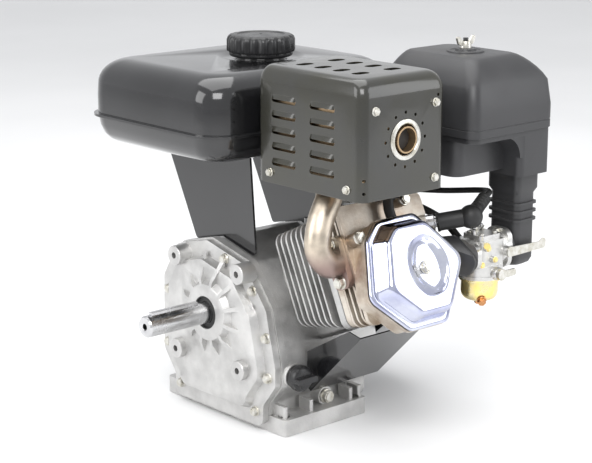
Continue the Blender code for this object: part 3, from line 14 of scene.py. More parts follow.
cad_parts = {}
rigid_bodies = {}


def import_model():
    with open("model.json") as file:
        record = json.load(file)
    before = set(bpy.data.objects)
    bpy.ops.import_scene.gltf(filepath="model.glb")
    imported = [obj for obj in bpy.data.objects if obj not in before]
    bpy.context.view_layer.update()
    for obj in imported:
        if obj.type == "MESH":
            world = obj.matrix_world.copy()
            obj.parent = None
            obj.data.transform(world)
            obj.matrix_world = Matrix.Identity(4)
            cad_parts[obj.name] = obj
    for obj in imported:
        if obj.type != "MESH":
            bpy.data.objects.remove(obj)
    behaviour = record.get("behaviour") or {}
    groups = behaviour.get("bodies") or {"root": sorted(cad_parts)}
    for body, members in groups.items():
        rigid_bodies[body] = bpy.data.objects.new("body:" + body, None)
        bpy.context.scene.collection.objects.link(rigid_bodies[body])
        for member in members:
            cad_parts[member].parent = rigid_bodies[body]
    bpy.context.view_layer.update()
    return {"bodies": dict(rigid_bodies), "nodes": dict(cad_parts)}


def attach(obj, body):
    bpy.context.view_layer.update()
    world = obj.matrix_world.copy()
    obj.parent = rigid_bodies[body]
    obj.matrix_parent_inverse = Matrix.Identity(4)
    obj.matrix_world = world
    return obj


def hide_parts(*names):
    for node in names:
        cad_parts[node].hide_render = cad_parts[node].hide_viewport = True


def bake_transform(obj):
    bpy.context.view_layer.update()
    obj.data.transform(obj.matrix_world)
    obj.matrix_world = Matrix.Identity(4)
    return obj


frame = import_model()

MM = 0.001
GAP = 0.3
WELD = 0.0008


# Driving dimensions of the engine
CRANK_HEIGHT = 133.0
TILT = math.radians(25)
CYLINDER_X = 26.0
DECK = 171.0
HEAD_FOOT = 172.8
HEAD_TOP = 214.8
BOX_TOP = 236.8
COVER_FOOT = 238.6
COVER_RISE = 24.0
DISH_DEPTH = 6.0
COVER_SHIFT = -28.0
COVER_OUTLINE = [(-36, 63), (22, 63), (73, 3), (24, -62), (-32, -62), (-76, -20), (-57, 44)]
CASE_OUTLINE = [(-82, 8), (-82, 34), (-104, 62), (-104, 84), (-88, 150), (-50, 198), (18, 214), (74, 200),
                (102, 156),
                (104, 62), (82, 34), (82, 8)]
CASE_X0, CASE_X1 = -66.0, 90.0
PTO_X = -94.0
PTO_RADIUS = 82.55
VALVE_OFFSET = 19.0
PUSHROD_OFFSET = 58.0
BASE_X, BASE_Y = 105.4 / 2, 195.5 / 2
BASE_THICK = 20.0

SIDE = Matrix(((0, 0, 1, 0), (1, 0, 0, 0), (0, 1, 0, 0), (0, 0, 0, 1)))
FRONT = Matrix(((1, 0, 0, 0), (0, 0, -1, 0), (0, 1, 0, 0), (0, 0, 0, 1)))
WORLD = Matrix.Identity(4)
CRANK = SIDE @ Matrix.Translation((0, CRANK_HEIGHT, 0))
CYLINDER = Matrix.Translation((CYLINDER_X, 0, CRANK_HEIGHT)) @ Matrix.Rotation(math.pi / 2 - TILT, 4, "X")
COVER = CYLINDER @ Matrix.Translation((0, COVER_SHIFT, 0))


def shift(place, x=0.0, y=0.0, z=0.0):
    return place @ Matrix.Translation((x, y, z))


def on_cylinder(across, up, along):
    return CYLINDER @ Vector((across, up, along))


def aim(start, end):
    """A frame at start whose z runs towards end."""
    start, end = Vector(start), Vector(end)
    return Matrix.Translation(start) @ (end - start).to_track_quat("Z", "Y").to_matrix().to_4x4()


# ---------------------------------------------------------------- shader groups


def socket_group(name, inputs, outputs):
    tree = bpy.data.node_groups.new(name, "ShaderNodeTree")
    for label, value in inputs:
        made = tree.interface.new_socket(label, in_out="INPUT", socket_type="NodeSocketFloat")
        made.default_value = value
    for label in outputs:
        tree.interface.new_socket(label, in_out="OUTPUT", socket_type="NodeSocketFloat")
    return tree, tree.nodes.new("NodeGroupInput"), tree.nodes.new("NodeGroupOutput")


def node(tree, kind, inputs=(), **settings):
    """A node with its settings, and its inputs given as values or as sockets to link from."""
    made = tree.nodes.new(kind)
    for key, value in settings.items():
        setattr(made, key, value)
    for key, value in dict(inputs).items():
        if isinstance(value, bpy.types.NodeSocket):
            tree.links.new(value, made.inputs[key])
        else:
            made.inputs[key].default_value = value
    return made


def math_node(tree, operation, a, b=0.0, clamp=False):
    return node(tree, "ShaderNodeMath", {0: a, 1: b}, operation=operation, use_clamp=clamp).outputs[0]


def ramp(tree, value, start, end):
    """A smooth step from 0 at start to 1 at end."""
    made = node(tree, "ShaderNodeMapRange", {"Value": value, "From Min": start, "From Max": end}, clamp=True)
    made.interpolation_type = "SMOOTHSTEP"
    return made.outputs["Result"]


def grain_group():
    """Fine relief and slow clouding of a surface."""
    tree, given, out = socket_group("Grain", [("Scale", 900.0), ("Cloud Scale", 25.0)], ["Height", "Cloud"])
    place = node(tree, "ShaderNodeTexCoord").outputs["Object"]
    fine = node(tree, "ShaderNodeTexNoise", {"Vector": place, "Scale": given.outputs["Scale"], "Detail": 3.0})
    pits = node(tree, "ShaderNodeTexVoronoi", {"Vector": place, "Scale": given.outputs["Scale"]})
    cloud = node(tree, "ShaderNodeTexNoise", {"Vector": place, "Scale": given.outputs["Cloud Scale"],
                                              "Detail": 5.0,
                                              "Roughness": 0.6})
    mixed = math_node(tree, "ADD", fine.outputs["Fac"], math_node(tree, "MULTIPLY", pits.outputs["Distance"],
                                                                  0.5))
    tree.links.new(mixed, out.inputs["Height"])
    tree.links.new(ramp(tree, cloud.outputs["Fac"], 0.3, 0.7), out.inputs["Cloud"])
    return tree


def wear_group():
    """Where edges are rubbed bright: the rounded normal parts from the flat one beside an edge."""
    tree, given, out = socket_group("Edge wear", [("Width", 0.0008), ("Breakup", 160.0)], ["Mask"])
    place = node(tree, "ShaderNodeTexCoord").outputs["Object"]
    flat = node(tree, "ShaderNodeNewGeometry").outputs["Normal"]
    softer = node(tree, "ShaderNodeBevel", {"Radius": given.outputs["Width"]}, samples=4)
    match = node(tree, "ShaderNodeVectorMath", {0: flat, 1: softer.outputs["Normal"]},
                 operation="DOT_PRODUCT")
    noise = node(tree, "ShaderNodeTexNoise", {"Vector": place, "Scale": given.outputs["Breakup"],
                                              "Detail": 4.0})
    edge = ramp(tree, math_node(tree, "SUBTRACT", 1.0, match.outputs["Value"]), 0.01, 0.16)
    tree.links.new(math_node(tree, "MULTIPLY", edge, ramp(tree, noise.outputs["Fac"], 0.36, 0.62)),
                   out.inputs["Mask"])
    return tree


def dust_group():
    """Dust that settles on upward faces, thicker in patches."""
    tree, given, out = socket_group("Dust", [("Amount", 0.3), ("Patch Scale", 18.0)], ["Mask"])
    place = node(tree, "ShaderNodeTexCoord").outputs["Object"]
    normal = node(tree, "ShaderNodeNewGeometry").outputs["Normal"]
    up = node(tree, "ShaderNodeSeparateXYZ", {0: normal}).outputs["Z"]
    noise = node(tree, "ShaderNodeTexNoise", {"Vector": place, "Scale": given.outputs["Patch Scale"],
                                              "Detail": 6.0})
    settled = math_node(tree, "MULTIPLY", ramp(tree, up, 0.2, 1.0),
                        ramp(tree, noise.outputs["Fac"], 0.35, 0.75))
    tree.links.new(math_node(tree, "MULTIPLY", settled, given.outputs["Amount"], clamp=True),
                   out.inputs["Mask"])
    return tree


GRAIN = grain_group()
WEAR = wear_group()
DUST = dust_group()


# ---------------------------------------------------------------- materials


def blended(tree, mask, first, second):
    made = node(tree, "ShaderNodeMix", {"Factor": mask}, data_type="RGBA")
    for socket, value in ((made.inputs[6], first), (made.inputs[7], second)):
        if isinstance(value, bpy.types.NodeSocket):
            tree.links.new(value, socket)
        else:
            socket.default_value = (*value, 1.0)
    return made.outputs[2]


def surface(name, colour, roughness, metallic=0.0, scale=900.0, relief=0.1, depth=0.0002, cloud=0.12,
            clouds=25.0,
            worn=None, width=0.0008, dust=0.1, coat=0.0, spread=0.12, tint=None):
    """A finish with grain relief, slow clouding, rubbed edges and settled dust."""
    skin = bpy.data.materials.new(name)
    skin.use_nodes = True
    tree = skin.node_tree
    shader = tree.nodes["Principled BSDF"]
    grain = node(tree, "ShaderNodeGroup", node_tree=GRAIN)
    grain.inputs["Scale"].default_value = scale
    grain.inputs["Cloud Scale"].default_value = clouds
    darker = tint or tuple(c * (1 - cloud) for c in colour)
    lighter = tuple(min(1.0, c * (1 + cloud)) for c in colour)
    base = blended(tree, grain.outputs["Cloud"], darker, lighter)
    if worn:
        rubbed = node(tree, "ShaderNodeGroup", node_tree=WEAR)
        rubbed.inputs["Width"].default_value = width
        base = blended(tree, rubbed.outputs["Mask"], base, worn)
    settled = node(tree, "ShaderNodeGroup", node_tree=DUST)
    settled.inputs["Amount"].default_value = dust
    base = blended(tree, settled.outputs["Mask"], base, (0.36, 0.33, 0.29))
    rough = math_node(tree, "MULTIPLY_ADD", grain.outputs["Cloud"], spread)
    tree.nodes[-1].inputs[2].default_value = roughness - spread / 2
    rough = math_node(tree, "ADD", rough, math_node(tree, "MULTIPLY", settled.outputs["Mask"], 0.4),
                      clamp=True)
    bump = node(tree, "ShaderNodeBump", {"Height": grain.outputs["Height"], "Strength": relief,
                                         "Distance": depth})
    tree.links.new(base, shader.inputs["Base Color"])
    tree.links.new(rough, shader.inputs["Roughness"])
    tree.links.new(bump.outputs["Normal"], shader.inputs["Normal"])
    shader.inputs["Metallic"].default_value = metallic
    shader.inputs["Coat Weight"].default_value = coat
    shader.inputs["Coat Roughness"].default_value = 0.06
    return skin


def heat_tinted(name):
    """Bare steel that the exhaust has browned, straw at the cool end and blue by the port."""
    skin = surface(name, (0.56, 0.49, 0.40), 0.38, 0.9, scale=500, relief=0.12, cloud=0.22, clouds=40,
                   dust=0.05)
    tree = skin.node_tree
    shader = tree.nodes["Principled BSDF"]
    old = shader.inputs["Base Color"].links[0].from_socket
    height = node(tree, "ShaderNodeSeparateXYZ", {0: node(tree,
                                                          "ShaderNodeTexCoord").outputs["Object"]}).outputs["Z"]
    brown = blended(tree, ramp(tree, height, 0.215, 0.25), (0.30, 0.22, 0.20), old)
    hot = blended(tree, ramp(tree, height, 0.285, 0.315), brown, (0.42, 0.30, 0.18))
    tree.links.new(hot, shader.inputs["Base Color"])
    return skin


def bright_plate(name):
    """Mirror plating with a cold violet cast and faint drawing marks."""
    return surface(name, (0.58, 0.60, 0.68), 0.10, 1.0, scale=260, relief=0.03, depth=0.0004, cloud=0.22,
                   clouds=14,
                   dust=0.03, spread=0.06, tint=(0.40, 0.42, 0.60))


def pleated(name):
    """Filter paper in narrow upright pleats."""
    skin = surface(name, (0.72, 0.56, 0.33), 0.9, scale=1500, relief=0.2, cloud=0.1, dust=0.0)
    tree = skin.node_tree
    wave = node(tree, "ShaderNodeTexWave", {"Vector": node(tree, "ShaderNodeTexCoord").outputs["Object"],
                                            "Scale": 90.0, "Distortion": 0.3})
    bump = node(tree, "ShaderNodeBump", {"Height": wave.outputs["Fac"], "Strength": 0.9, "Distance": 0.002})
    tree.links.new(bump.outputs["Normal"], tree.nodes["Principled BSDF"].inputs["Normal"])
    return skin


def braided(name):
    """Starter rope: two families of strands that cross."""
    skin = surface(name, (0.60, 0.58, 0.53), 0.85, scale=2500, relief=0.2, cloud=0.2, clouds=200, dust=0.0)
    tree = skin.node_tree
    place = node(tree, "ShaderNodeTexCoord").outputs["Object"]
    first = node(tree, "ShaderNodeTexWave", {"Vector": place, "Scale": 260.0}, bands_direction="DIAGONAL")
    second = node(tree, "ShaderNodeTexWave", {"Vector": place, "Scale": 330.0}, bands_direction="Z")
    height = math_node(tree, "MULTIPLY", first.outputs["Fac"], second.outputs["Fac"])
    bump = node(tree, "ShaderNodeBump", {"Height": height, "Strength": 0.8, "Distance": 0.0006})
    tree.links.new(bump.outputs["Normal"], tree.nodes["Principled BSDF"].inputs["Normal"])
    return skin


CAST = surface("Sand cast aluminium", (0.56, 0.555, 0.545), 0.44, 0.8, scale=520, relief=0.35, depth=0.0006,
               cloud=0.14,
               clouds=30, worn=(0.85, 0.85, 0.84), dust=0.1, spread=0.2)
FINE_CAST = surface("Die cast aluminium", (0.62, 0.615, 0.60), 0.34, 0.9, scale=900, relief=0.15, cloud=0.1,
                    clouds=60,
                    worn=(0.9, 0.9, 0.9), dust=0.05)
STEEL = surface("Ground steel", (0.60, 0.60, 0.61), 0.24, 1.0, scale=1400, relief=0.08, cloud=0.08,
                clouds=70, dust=0.02)
IRON = surface("Grey iron", (0.26, 0.255, 0.25), 0.5, 0.9, scale=700, relief=0.3, cloud=0.2, clouds=35,
               dust=0.05)
ZINC = surface("Zinc plate", (0.60, 0.59, 0.56), 0.32, 1.0, scale=600, relief=0.1, cloud=0.16, clouds=150,
               tint=(0.50, 0.48, 0.41), dust=0.03)
YELLOW = surface("Yellow passivate", (0.83, 0.64, 0.22), 0.3, 1.0, scale=500, relief=0.1, cloud=0.2,
                 clouds=90,
                 tint=(0.74, 0.66, 0.40), dust=0.02)
CHROME = bright_plate("Bright plate")
PIPE = heat_tinted("Heat tinted steel")
GLOSS = surface("Black enamel", (0.009, 0.009, 0.010), 0.17, scale=240, relief=0.035, depth=0.0006,
                cloud=0.2, clouds=12,
                worn=(0.07, 0.07, 0.07), dust=0.012, coat=0.6, spread=0.07)
HOT_BLACK = surface("Heat proof black enamel", (0.017, 0.017, 0.015), 0.22, scale=300, relief=0.05,
                    depth=0.0006, cloud=0.3,
                    clouds=14, tint=(0.022, 0.021, 0.013), worn=(0.12, 0.11, 0.09), dust=0.015, coat=0.5,
                    spread=0.08)
PLASTIC = surface("Black moulded plastic", (0.034, 0.034, 0.036), 0.42, scale=1500, relief=0.22,
                  depth=0.0003, cloud=0.1,
                  clouds=18, worn=(0.07, 0.07, 0.07), dust=0.03)
KNOB = surface("Hard black plastic", (0.014, 0.014, 0.015), 0.3, scale=1100, relief=0.1, cloud=0.15,
               clouds=50, dust=0.03)
RUBBER = surface("Black rubber", (0.013, 0.013, 0.013), 0.5, scale=1300, relief=0.2, cloud=0.25, clouds=60,
                 dust=0.04)
RED = surface("Red plastic", (0.55, 0.015, 0.012), 0.3, scale=900, relief=0.06, cloud=0.1, clouds=60,
              dust=0.03)
PAPER = pleated("Filter paper")
ROPE = braided("Starter rope braid")
SOOT = surface("Sooted steel", (0.035, 0.032, 0.030), 0.8, 0.3, scale=900, relief=0.4, cloud=0.4, clouds=90,
               dust=0.0)

NODE_SKINS = {
    CAST: ["cylinder_block", "side_cover", "cylinder_head", "piston"],
    FINE_CAST: ["carburetor_body"],
    IRON: ["cylinder_liner", "camshaft", "flywheel", "head_gasket"],
    STEEL: ["pto_bearing", "fan_bearing", "intake_spring", "exhaust_spring", "wrist_pin", "crankshaft",
            "shaft_key",
            "starter_cup", "intake_valve", "exhaust_valve", "intake_rocker", "exhaust_rocker",
            "intake_pushrod",
            "exhaust_pushrod", "spark_plug"],
    ZINC: ["valve_cover_bolt", "oil_drain_bolt", "control_bracket", "wing_nut", "throttle_lever",
           "choke_lever",
           "fuel_cock_lever", "governor_arm"],
    YELLOW: ["float_bowl"],
    CHROME: ["valve_cover"],
    PIPE: ["exhaust_pipe", "muffler"],
    GLOSS: ["fuel_tank", "fan_housing", "recoil_housing", "lower_shroud"],
    HOT_BLACK: ["muffler_guard"],
    PLASTIC: ["insulator_block", "air_cleaner_base", "intake_elbow", "air_cleaner_cover", "ignition_coil",
              "cooling_fan",
              "rope_reel"],
    KNOB: ["tank_cap", "oil_dipstick", "starter_grip"],
    RUBBER: ["pto_seal", "valve_cover_gasket", "fuel_hose", "plug_cap", "ignition_lead", "breather_hose"],
    PAPER: ["air_filter"],
    RED: ["stop_switch"],
}
for skin, names in NODE_SKINS.items():
    for name in names:
        slots = frame["nodes"][name].data.materials
        slots.clear()
        slots.append(skin)


# ---------------------------------------------------------------- shapes


def new_object(name, mesh):
    made = bpy.data.objects.new(name, mesh)
    bpy.context.scene.collection.objects.link(made)
    return made


def from_bmesh(bm, place=WORLD):
    bmesh.ops.transform(bm, matrix=place, verts=bm.verts)
    bmesh.ops.recalc_face_normals(bm, faces=bm.faces)
    mesh = bpy.data.meshes.new("shape")
    bm.to_mesh(mesh)
    bm.free()
    return new_object("shape", mesh)


def settle(obj, clean=True):
    """Turns an object's modifiers into its mesh."""
    graph = bpy.context.evaluated_depsgraph_get()
    mesh = bpy.data.meshes.new_from_object(obj.evaluated_get(graph))
    if clean:
        bm = bmesh.new()
        bm.from_mesh(mesh)
        bmesh.ops.remove_doubles(bm, verts=bm.verts, dist=WELD)
        bmesh.ops.dissolve_degenerate(bm, dist=WELD, edges=bm.edges)
        bm.to_mesh(mesh)
        bm.free()
    obj.modifiers.clear()
    obj.data = mesh
    return obj


def boolean(target, tools, operation):
    for tool in tools:
        step = target.modifiers.new("Step", "BOOLEAN")
        step.operation = operation
        step.object = tool
        settle(target)
        bpy.data.objects.remove(tool)
    return target


def fuse(target, *tools):
    return boolean(target, tools, "UNION")


def cut(target, *tools):
    return boolean(target, tools, "DIFFERENCE")


def gather(pieces):
    """Joins separate shapes into one object."""
    bm = bmesh.new()
    for one in pieces:
        bm.from_mesh(one.data)
        bpy.data.objects.remove(one)
    mesh = bpy.data.meshes.new("group")
    bm.to_mesh(mesh)
    bm.free()
    return new_object("group", mesh)


def finish(obj, name, skin, body="engine", nodes=(), edge=0.0, steps=2, limit=32.0, smooth=35.0):
    """Names a piece, puts it in metres, softens its edges and fixes it to a body in place of its CAD nodes."""
    obj.name = name
    obj.data.name = name
    obj.data.transform(Matrix.Scale(MM, 4))
    if skin:
        obj.data.materials.clear()
        obj.data.materials.append(skin)
    for face in obj.data.polygons:
        face.use_smooth = True
    obj.data.set_sharp_from_angle(angle=math.radians(smooth))
    if edge:
        bevel = obj.modifiers.new("Edges", "BEVEL")
        bevel.width = edge * MM
        bevel.segments = steps
        bevel.limit_method = "ANGLE"
        bevel.angle_limit = math.radians(limit)
        bevel.use_clamp_overlap = True
        bevel.harden_normals = True
    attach(obj, body)
    if nodes:
        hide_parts(*nodes)
    return obj


def rounded(points, radius, steps=5):
    """The polygon with its corners turned into arcs."""
    made = []
    count = len(points)
    for i, corner in enumerate(points):
        here = Vector(corner)
        before = (Vector(points[i - 1]) - here).normalized()
        after = (Vector(points[(i + 1) % count]) - here).normalized()
        half = before.angle(after) / 2
        reach = radius / math.tan(half)
        centre = here + (before + after).normalized() * radius / math.sin(half)
        start = (here + before * reach - centre).normalized()
        end = (here + after * reach - centre).normalized()
        made += [centre + start.slerp(end, k / steps).normalized() * radius for k in range(steps + 1)]
    return [(p.x, p.y) for p in made]


def rectangle(x0, y0, x1, y1, radius=0.0, steps=5):
    corners = [(x0, y0), (x1, y0), (x1, y1), (x0, y1)]
    return rounded(corners, radius, steps) if radius else corners


def grown(points, by):
    """The polygon offset outwards, or inwards where the distance is negative."""
    area = sum(points[i - 1][0] * p[1] - p[0] * points[i - 1][1] for i, p in enumerate(points))
    turn = 1 if area > 0 else -1
    made = []
    for i, point in enumerate(points):
        here = Vector(point)
        a = (here - Vector(points[i - 1])).normalized()
        b = (Vector(points[(i + 1) % len(points)]) - here).normalized()
        na = Vector((a.y, -a.x)) * turn
        nb = Vector((b.y, -b.x)) * turn
        mitre = (na + nb).normalized()
        made.append(here + mitre * by / mitre.dot(na))
    return [(p.x, p.y) for p in made]


def loft(sections, place=WORLD, closed=False):
    """A solid through outlines of equal length, each (points, height); closed joins the last to the first."""
    bm = bmesh.new()
    rings = [[bm.verts.new((x, y, height)) for x, y in points] for points, height in sections]
    pairs = list(zip(rings, rings[1:])) + ([(rings[-1], rings[0])] if closed else [])
    for low, high in pairs:
        for i in range(len(low)):
            bm.faces.new((low[i - 1], low[i], high[i], high[i - 1]))
    if not closed:
        bm.faces.new(rings[0][::-1])
        bm.faces.new(rings[-1])
    return from_bmesh(bm, place)


def prism(points, start, end, place=WORLD):
    return loft([(points, start), (points, end)], place)


def block(low, high, radius=0.0, place=WORLD, steps=5):
    return prism(rectangle(low[0], low[1], high[0], high[1], radius, steps), low[2], high[2], place)


def turned(profile, steps=48, place=WORLD):
    """A solid of revolution about local z from a closed loop of (radius, height)."""
    bm = bmesh.new()
    rings = []
    for radius, height in profile:
        if radius == 0:
            rings.append([bm.verts.new((0, 0, height))] * steps)
            continue
        angles = [2 * math.pi * k / steps for k in range(steps)]
        rings.append([bm.verts.new((radius * math.cos(a), radius * math.sin(a), height)) for a in angles])
    for i, ring in enumerate(rings):
        last = rings[i - 1]
        for k in range(steps):
            corners = list(dict.fromkeys((last[k - 1], last[k], ring[k], ring[k - 1])))
            if len(corners) > 2:
                bm.faces.new(corners)
    return from_bmesh(bm, place)


def rod(radius, start, end, steps=32, place=WORLD):
    return turned([(0, start), (radius, start), (radius, end), (0, end)], steps, place)


def ring(inner, outer, start, end, steps=48, place=WORLD):
    return turned([(inner, start), (outer, start), (outer, end), (inner, end)], steps, place)


def bar(start, end, radius, steps=24):
    return rod(radius, 0, (Vector(end) - Vector(start)).length, steps, aim(start, end))


def smooth_path(points, finer):
    """Points along a Catmull-Rom curve through the given ones."""
    points = [Vector(p) for p in points]
    made = []
    for i in range(len(points) - 1):
        p0, p1, p2, p3 = points[max(i - 1, 0)], points[i], points[i + 1], points[min(i + 2, len(points) - 1)]
        for k in range(finer):
            t = k / finer
            made.append(0.5 * (2 * p1 + (p2 - p0) * t + (2 * p0 - 5 * p1 + 4 * p2 - p3) * t**2
                               + (3 * p1 - p0 - 3 * p2 + p3) * t**3))
    return made + [points[-1]]


def tube(points, radius, sides=16, finer=8):
    """A round solid along a smooth curve."""
    path = smooth_path(points, finer)
    bm = bmesh.new()
    rings = []
    across = (path[1] - path[0]).orthogonal().normalized()
    for i, here in enumerate(path):
        way = (path[min(i + 1, len(path) - 1)] - path[max(i - 1, 0)]).normalized()
        across = (across - way * across.dot(way)).normalized()
        other = way.cross(across)
        angles = [2 * math.pi * k / sides for k in range(sides)]
        rings.append([bm.verts.new(here + (across * math.cos(a) + other * math.sin(a)) * radius) for a in angles])
    for low, high in zip(rings, rings[1:]):
        for k in range(sides):
            bm.faces.new((low[k - 1], low[k], high[k], high[k - 1]))
    bm.faces.new(rings[0][::-1])
    bm.faces.new(rings[-1])
    return from_bmesh(bm)


# ---------------------------------------------------------------- repeating trees


def new_tree(name, inputs):
    tree = bpy.data.node_groups.new(name, "GeometryNodeTree")
    tree.interface.new_socket("Geometry", in_out="INPUT", socket_type="NodeSocketGeometry")
    for label, kind, value in inputs:
        made = tree.interface.new_socket(label, in_out="INPUT", socket_type=kind)
        if value is not None:
            made.default_value = value
    tree.interface.new_socket("Geometry", in_out="OUTPUT", socket_type="NodeSocketGeometry")
    return tree, tree.nodes.new("NodeGroupInput"), tree.nodes.new("NodeGroupOutput")


def close_tree(tree, given, out, instances):
    """Ends a tree in real meshes with the piece's material."""
    real = node(tree, "GeometryNodeRealizeInstances", {"Geometry": instances})
    skin = node(tree, "GeometryNodeSetMaterial", {"Geometry": real.outputs[0],
                                                  "Material": given.outputs["Material"]})
    tree.links.new(skin.outputs[0], out.inputs[0])
    return tree


def row_tree():
    """Copies of a shape in a straight row."""
    tree, given, out = new_tree("Row of copies", [("Count", "NodeSocketInt", 5),
                                                  ("Step", "NodeSocketVector", None),
                                                  ("Material", "NodeSocketMaterial", None)])
    line = node(tree, "GeometryNodeMeshLine", {"Count": given.outputs["Count"],
                                               "Offset": given.outputs["Step"]})
    copies = node(tree, "GeometryNodeInstanceOnPoints", {"Points": line.outputs[0],
                                                         "Instance": given.outputs["Geometry"]})
    return close_tree(tree, given, out, copies.outputs[0])


def wheel_tree():
    """Copies of a shape turned evenly about local z."""
    tree, given, out = new_tree("Wheel of copies", [("Count", "NodeSocketInt", 12),
                                                    ("Start", "NodeSocketFloat", 0.0),
                                                    ("Material", "NodeSocketMaterial", None)])
    line = node(tree, "GeometryNodeMeshLine", {"Count": given.outputs["Count"], "Offset": (0, 0, 0)})
    step = math_node(tree, "DIVIDE", 2 * math.pi, given.outputs["Count"])
    index = node(tree, "GeometryNodeInputIndex").outputs[0]
    angle = math_node(tree, "ADD", math_node(tree, "MULTIPLY", index, step), given.outputs["Start"])
    turn = node(tree, "ShaderNodeCombineXYZ", {"Z": angle})
    copies = node(tree, "GeometryNodeInstanceOnPoints", {"Points": line.outputs[0],
                                                         "Instance": given.outputs["Geometry"],
                                                         "Rotation": turn.outputs[0]})
    return close_tree(tree, given, out, copies.outputs[0])


def bolt_tree():
    """A flanged hexagon head on every point of the mesh, standing along local z."""
    tree, given, out = new_tree("Hexagon bolts", [("Across", "NodeSocketFloat", 12.0),
                                                  ("Head", "NodeSocketFloat", 7.0),
                                                  ("Flange", "NodeSocketFloat", 2.0),
                                                  ("Material", "NodeSocketMaterial", None)])
    corner = math_node(tree, "MULTIPLY", given.outputs["Across"], 0.577)
    head = node(tree, "GeometryNodeMeshCone", {"Vertices": 6, "Radius Bottom": corner,
                                               "Radius Top": math_node(tree, "MULTIPLY", corner, 0.97),
                                               "Depth": math_node(tree, "MULTIPLY", given.outputs["Head"],
                                                                  0.85)})
    crown = node(tree, "GeometryNodeMeshCone", {"Vertices": 24, "Radius Bottom": math_node(tree, "MULTIPLY", corner, 0.9),
                                                "Radius Top": math_node(tree, "MULTIPLY", corner, 0.72),
                                                "Depth": given.outputs["Head"]})
    wide = math_node(tree, "MULTIPLY", given.outputs["Across"], 0.66)
    flange = node(tree, "GeometryNodeMeshCone", {"Vertices": 32, "Radius Bottom": wide,
                                                 "Radius Top": math_node(tree, "MULTIPLY", wide, 0.9),
                                                 "Depth": given.outputs["Flange"]})
    joined = node(tree, "GeometryNodeJoinGeometry")
    for shape in (head, crown, flange):
        tree.links.new(shape.outputs["Mesh"], joined.inputs[0])
    copies = node(tree, "GeometryNodeInstanceOnPoints", {"Points": given.outputs["Geometry"],
                                                         "Instance": joined.outputs[0]})
    return close_tree(tree, given, out, copies.outputs[0])


def spring_tree():
    """A coil of wire along local z."""
    tree, given, out = new_tree("Coil spring", [("Turns", "NodeSocketFloat", 5.0),
                                                ("Radius", "NodeSocketFloat", 10.0),
                                                ("Length", "NodeSocketFloat", 20.0),
                                                ("Wire", "NodeSocketFloat", 1.5),
                                                ("Material", "NodeSocketMaterial", None)])
    coil = node(tree, "GeometryNodeCurveSpiral", {"Resolution": 24, "Rotations": given.outputs["Turns"],
                                                  "Start Radius": given.outputs["Radius"],
                                                  "End Radius": given.outputs["Radius"],
                                                  "Height": given.outputs["Length"]})
    wire = node(tree, "GeometryNodeCurvePrimitiveCircle", {"Resolution": 10, "Radius": given.outputs["Wire"]})
    swept = node(tree, "GeometryNodeCurveToMesh", {"Curve": coil.outputs[0], "Profile Curve": wire.outputs[0],
                                                   "Fill Caps": True})
    return close_tree(tree, given, out, swept.outputs[0])


ROW = row_tree()
WHEEL = wheel_tree()
BOLTS = bolt_tree()
SPRING = spring_tree()


def grow(obj, tree, skin, **values):
    """Runs a tree on an object and keeps the plain mesh that it makes."""
    sockets = {item.name: item.identifier for item in tree.interface.items_tree if item.in_out == "INPUT"}
    step = obj.modifiers.new("Tree", "NODES")
    step.node_group = tree
    step[sockets["Material"]] = skin
    for label, value in values.items():
        step[sockets[label.replace("_", " ")]] = value
    return settle(obj, clean=False)


def moved(obj, place):
    obj.data.transform(place)
    if place.determinant() < 0:
        obj.data.flip_normals()
    return obj


def bolts(places, across, head, name, skin=ZINC, body="engine", nodes=()):
    """Bolts with one direction each: places are frames whose z points out of the face."""
    made = []
    for place in places:
        points = bpy.data.meshes.new("points")
        points.from_pydata([(0, 0, 0)], [], [])
        one = grow(new_object("bolt", points), BOLTS, skin, Across=float(across), Head=float(head),
                   Flange=across * 0.14)
        made.append(moved(one, place))
    return finish(gather(made), name, skin, body, nodes, edge=0.35, limit=25, smooth=25)


# ---------------------------------------------------------------- softened copies of the plain inner pieces


def body_of(name):
    return frame["nodes"][name].parent.name if frame["nodes"][name].parent else "engine"


BODY_NAMES = {holder: label for label, holder in ((label, obj.name) for label,
                                                  obj in frame["bodies"].items())}


def softened(name, skin, edge=0.4, limit=32.0):
    """A merged copy of a CAD node with its edges rounded."""
    source = frame["nodes"][name]
    bm = bmesh.new()
    bm.from_mesh(source.data)
    bm.transform(source.matrix_world)
    bmesh.ops.scale(bm, vec=(1 / MM,) * 3, verts=bm.verts)
    bmesh.ops.remove_doubles(bm, verts=bm.verts, dist=0.01)
    bmesh.ops.dissolve_limit(bm, angle_limit=math.radians(1), verts=bm.verts, edges=bm.edges)
    mesh = bpy.data.meshes.new(name)
    bm.to_mesh(mesh)
    bm.free()
    made = new_object(name, mesh)
    return finish(made, name + "_fine", skin, BODY_NAMES[body_of(name)], [name], edge=edge, limit=limit)


# ---------------------------------------------------------------- rocker cover


def cover_outline(by=0.0, radius=14.0, steps=8):
    return rounded(grown(COVER_OUTLINE, by), radius, steps)


def evened(points, count):
    """The closed outline as evenly spaced points that start on its +x side."""
    points = [Vector(p) for p in points]
    start = max(range(len(points)), key=lambda i: points[i].x - abs(points[i].y))
    points = points[start:] + points[:start] + [points[start]]
    if sum(a.cross(b) for a, b in zip(points, points[1:])) < 0:
        points.reverse()
    lengths = [0.0]
    for a, b in zip(points, points[1:]):
        lengths.append(lengths[-1] + (b - a).length)
    made = []
    k = 0
    for i in range(count):
        want = lengths[-1] * i / count
        while lengths[k + 1] < want:
            k += 1
        share = (want - lengths[k]) / (lengths[k + 1] - lengths[k])
        made.append(points[k].lerp(points[k + 1], share))
    return made


def between(outer, inner, share):
    return [(a.lerp(b, share).x, a.lerp(b, share).y) for a, b in zip(outer, inner)]


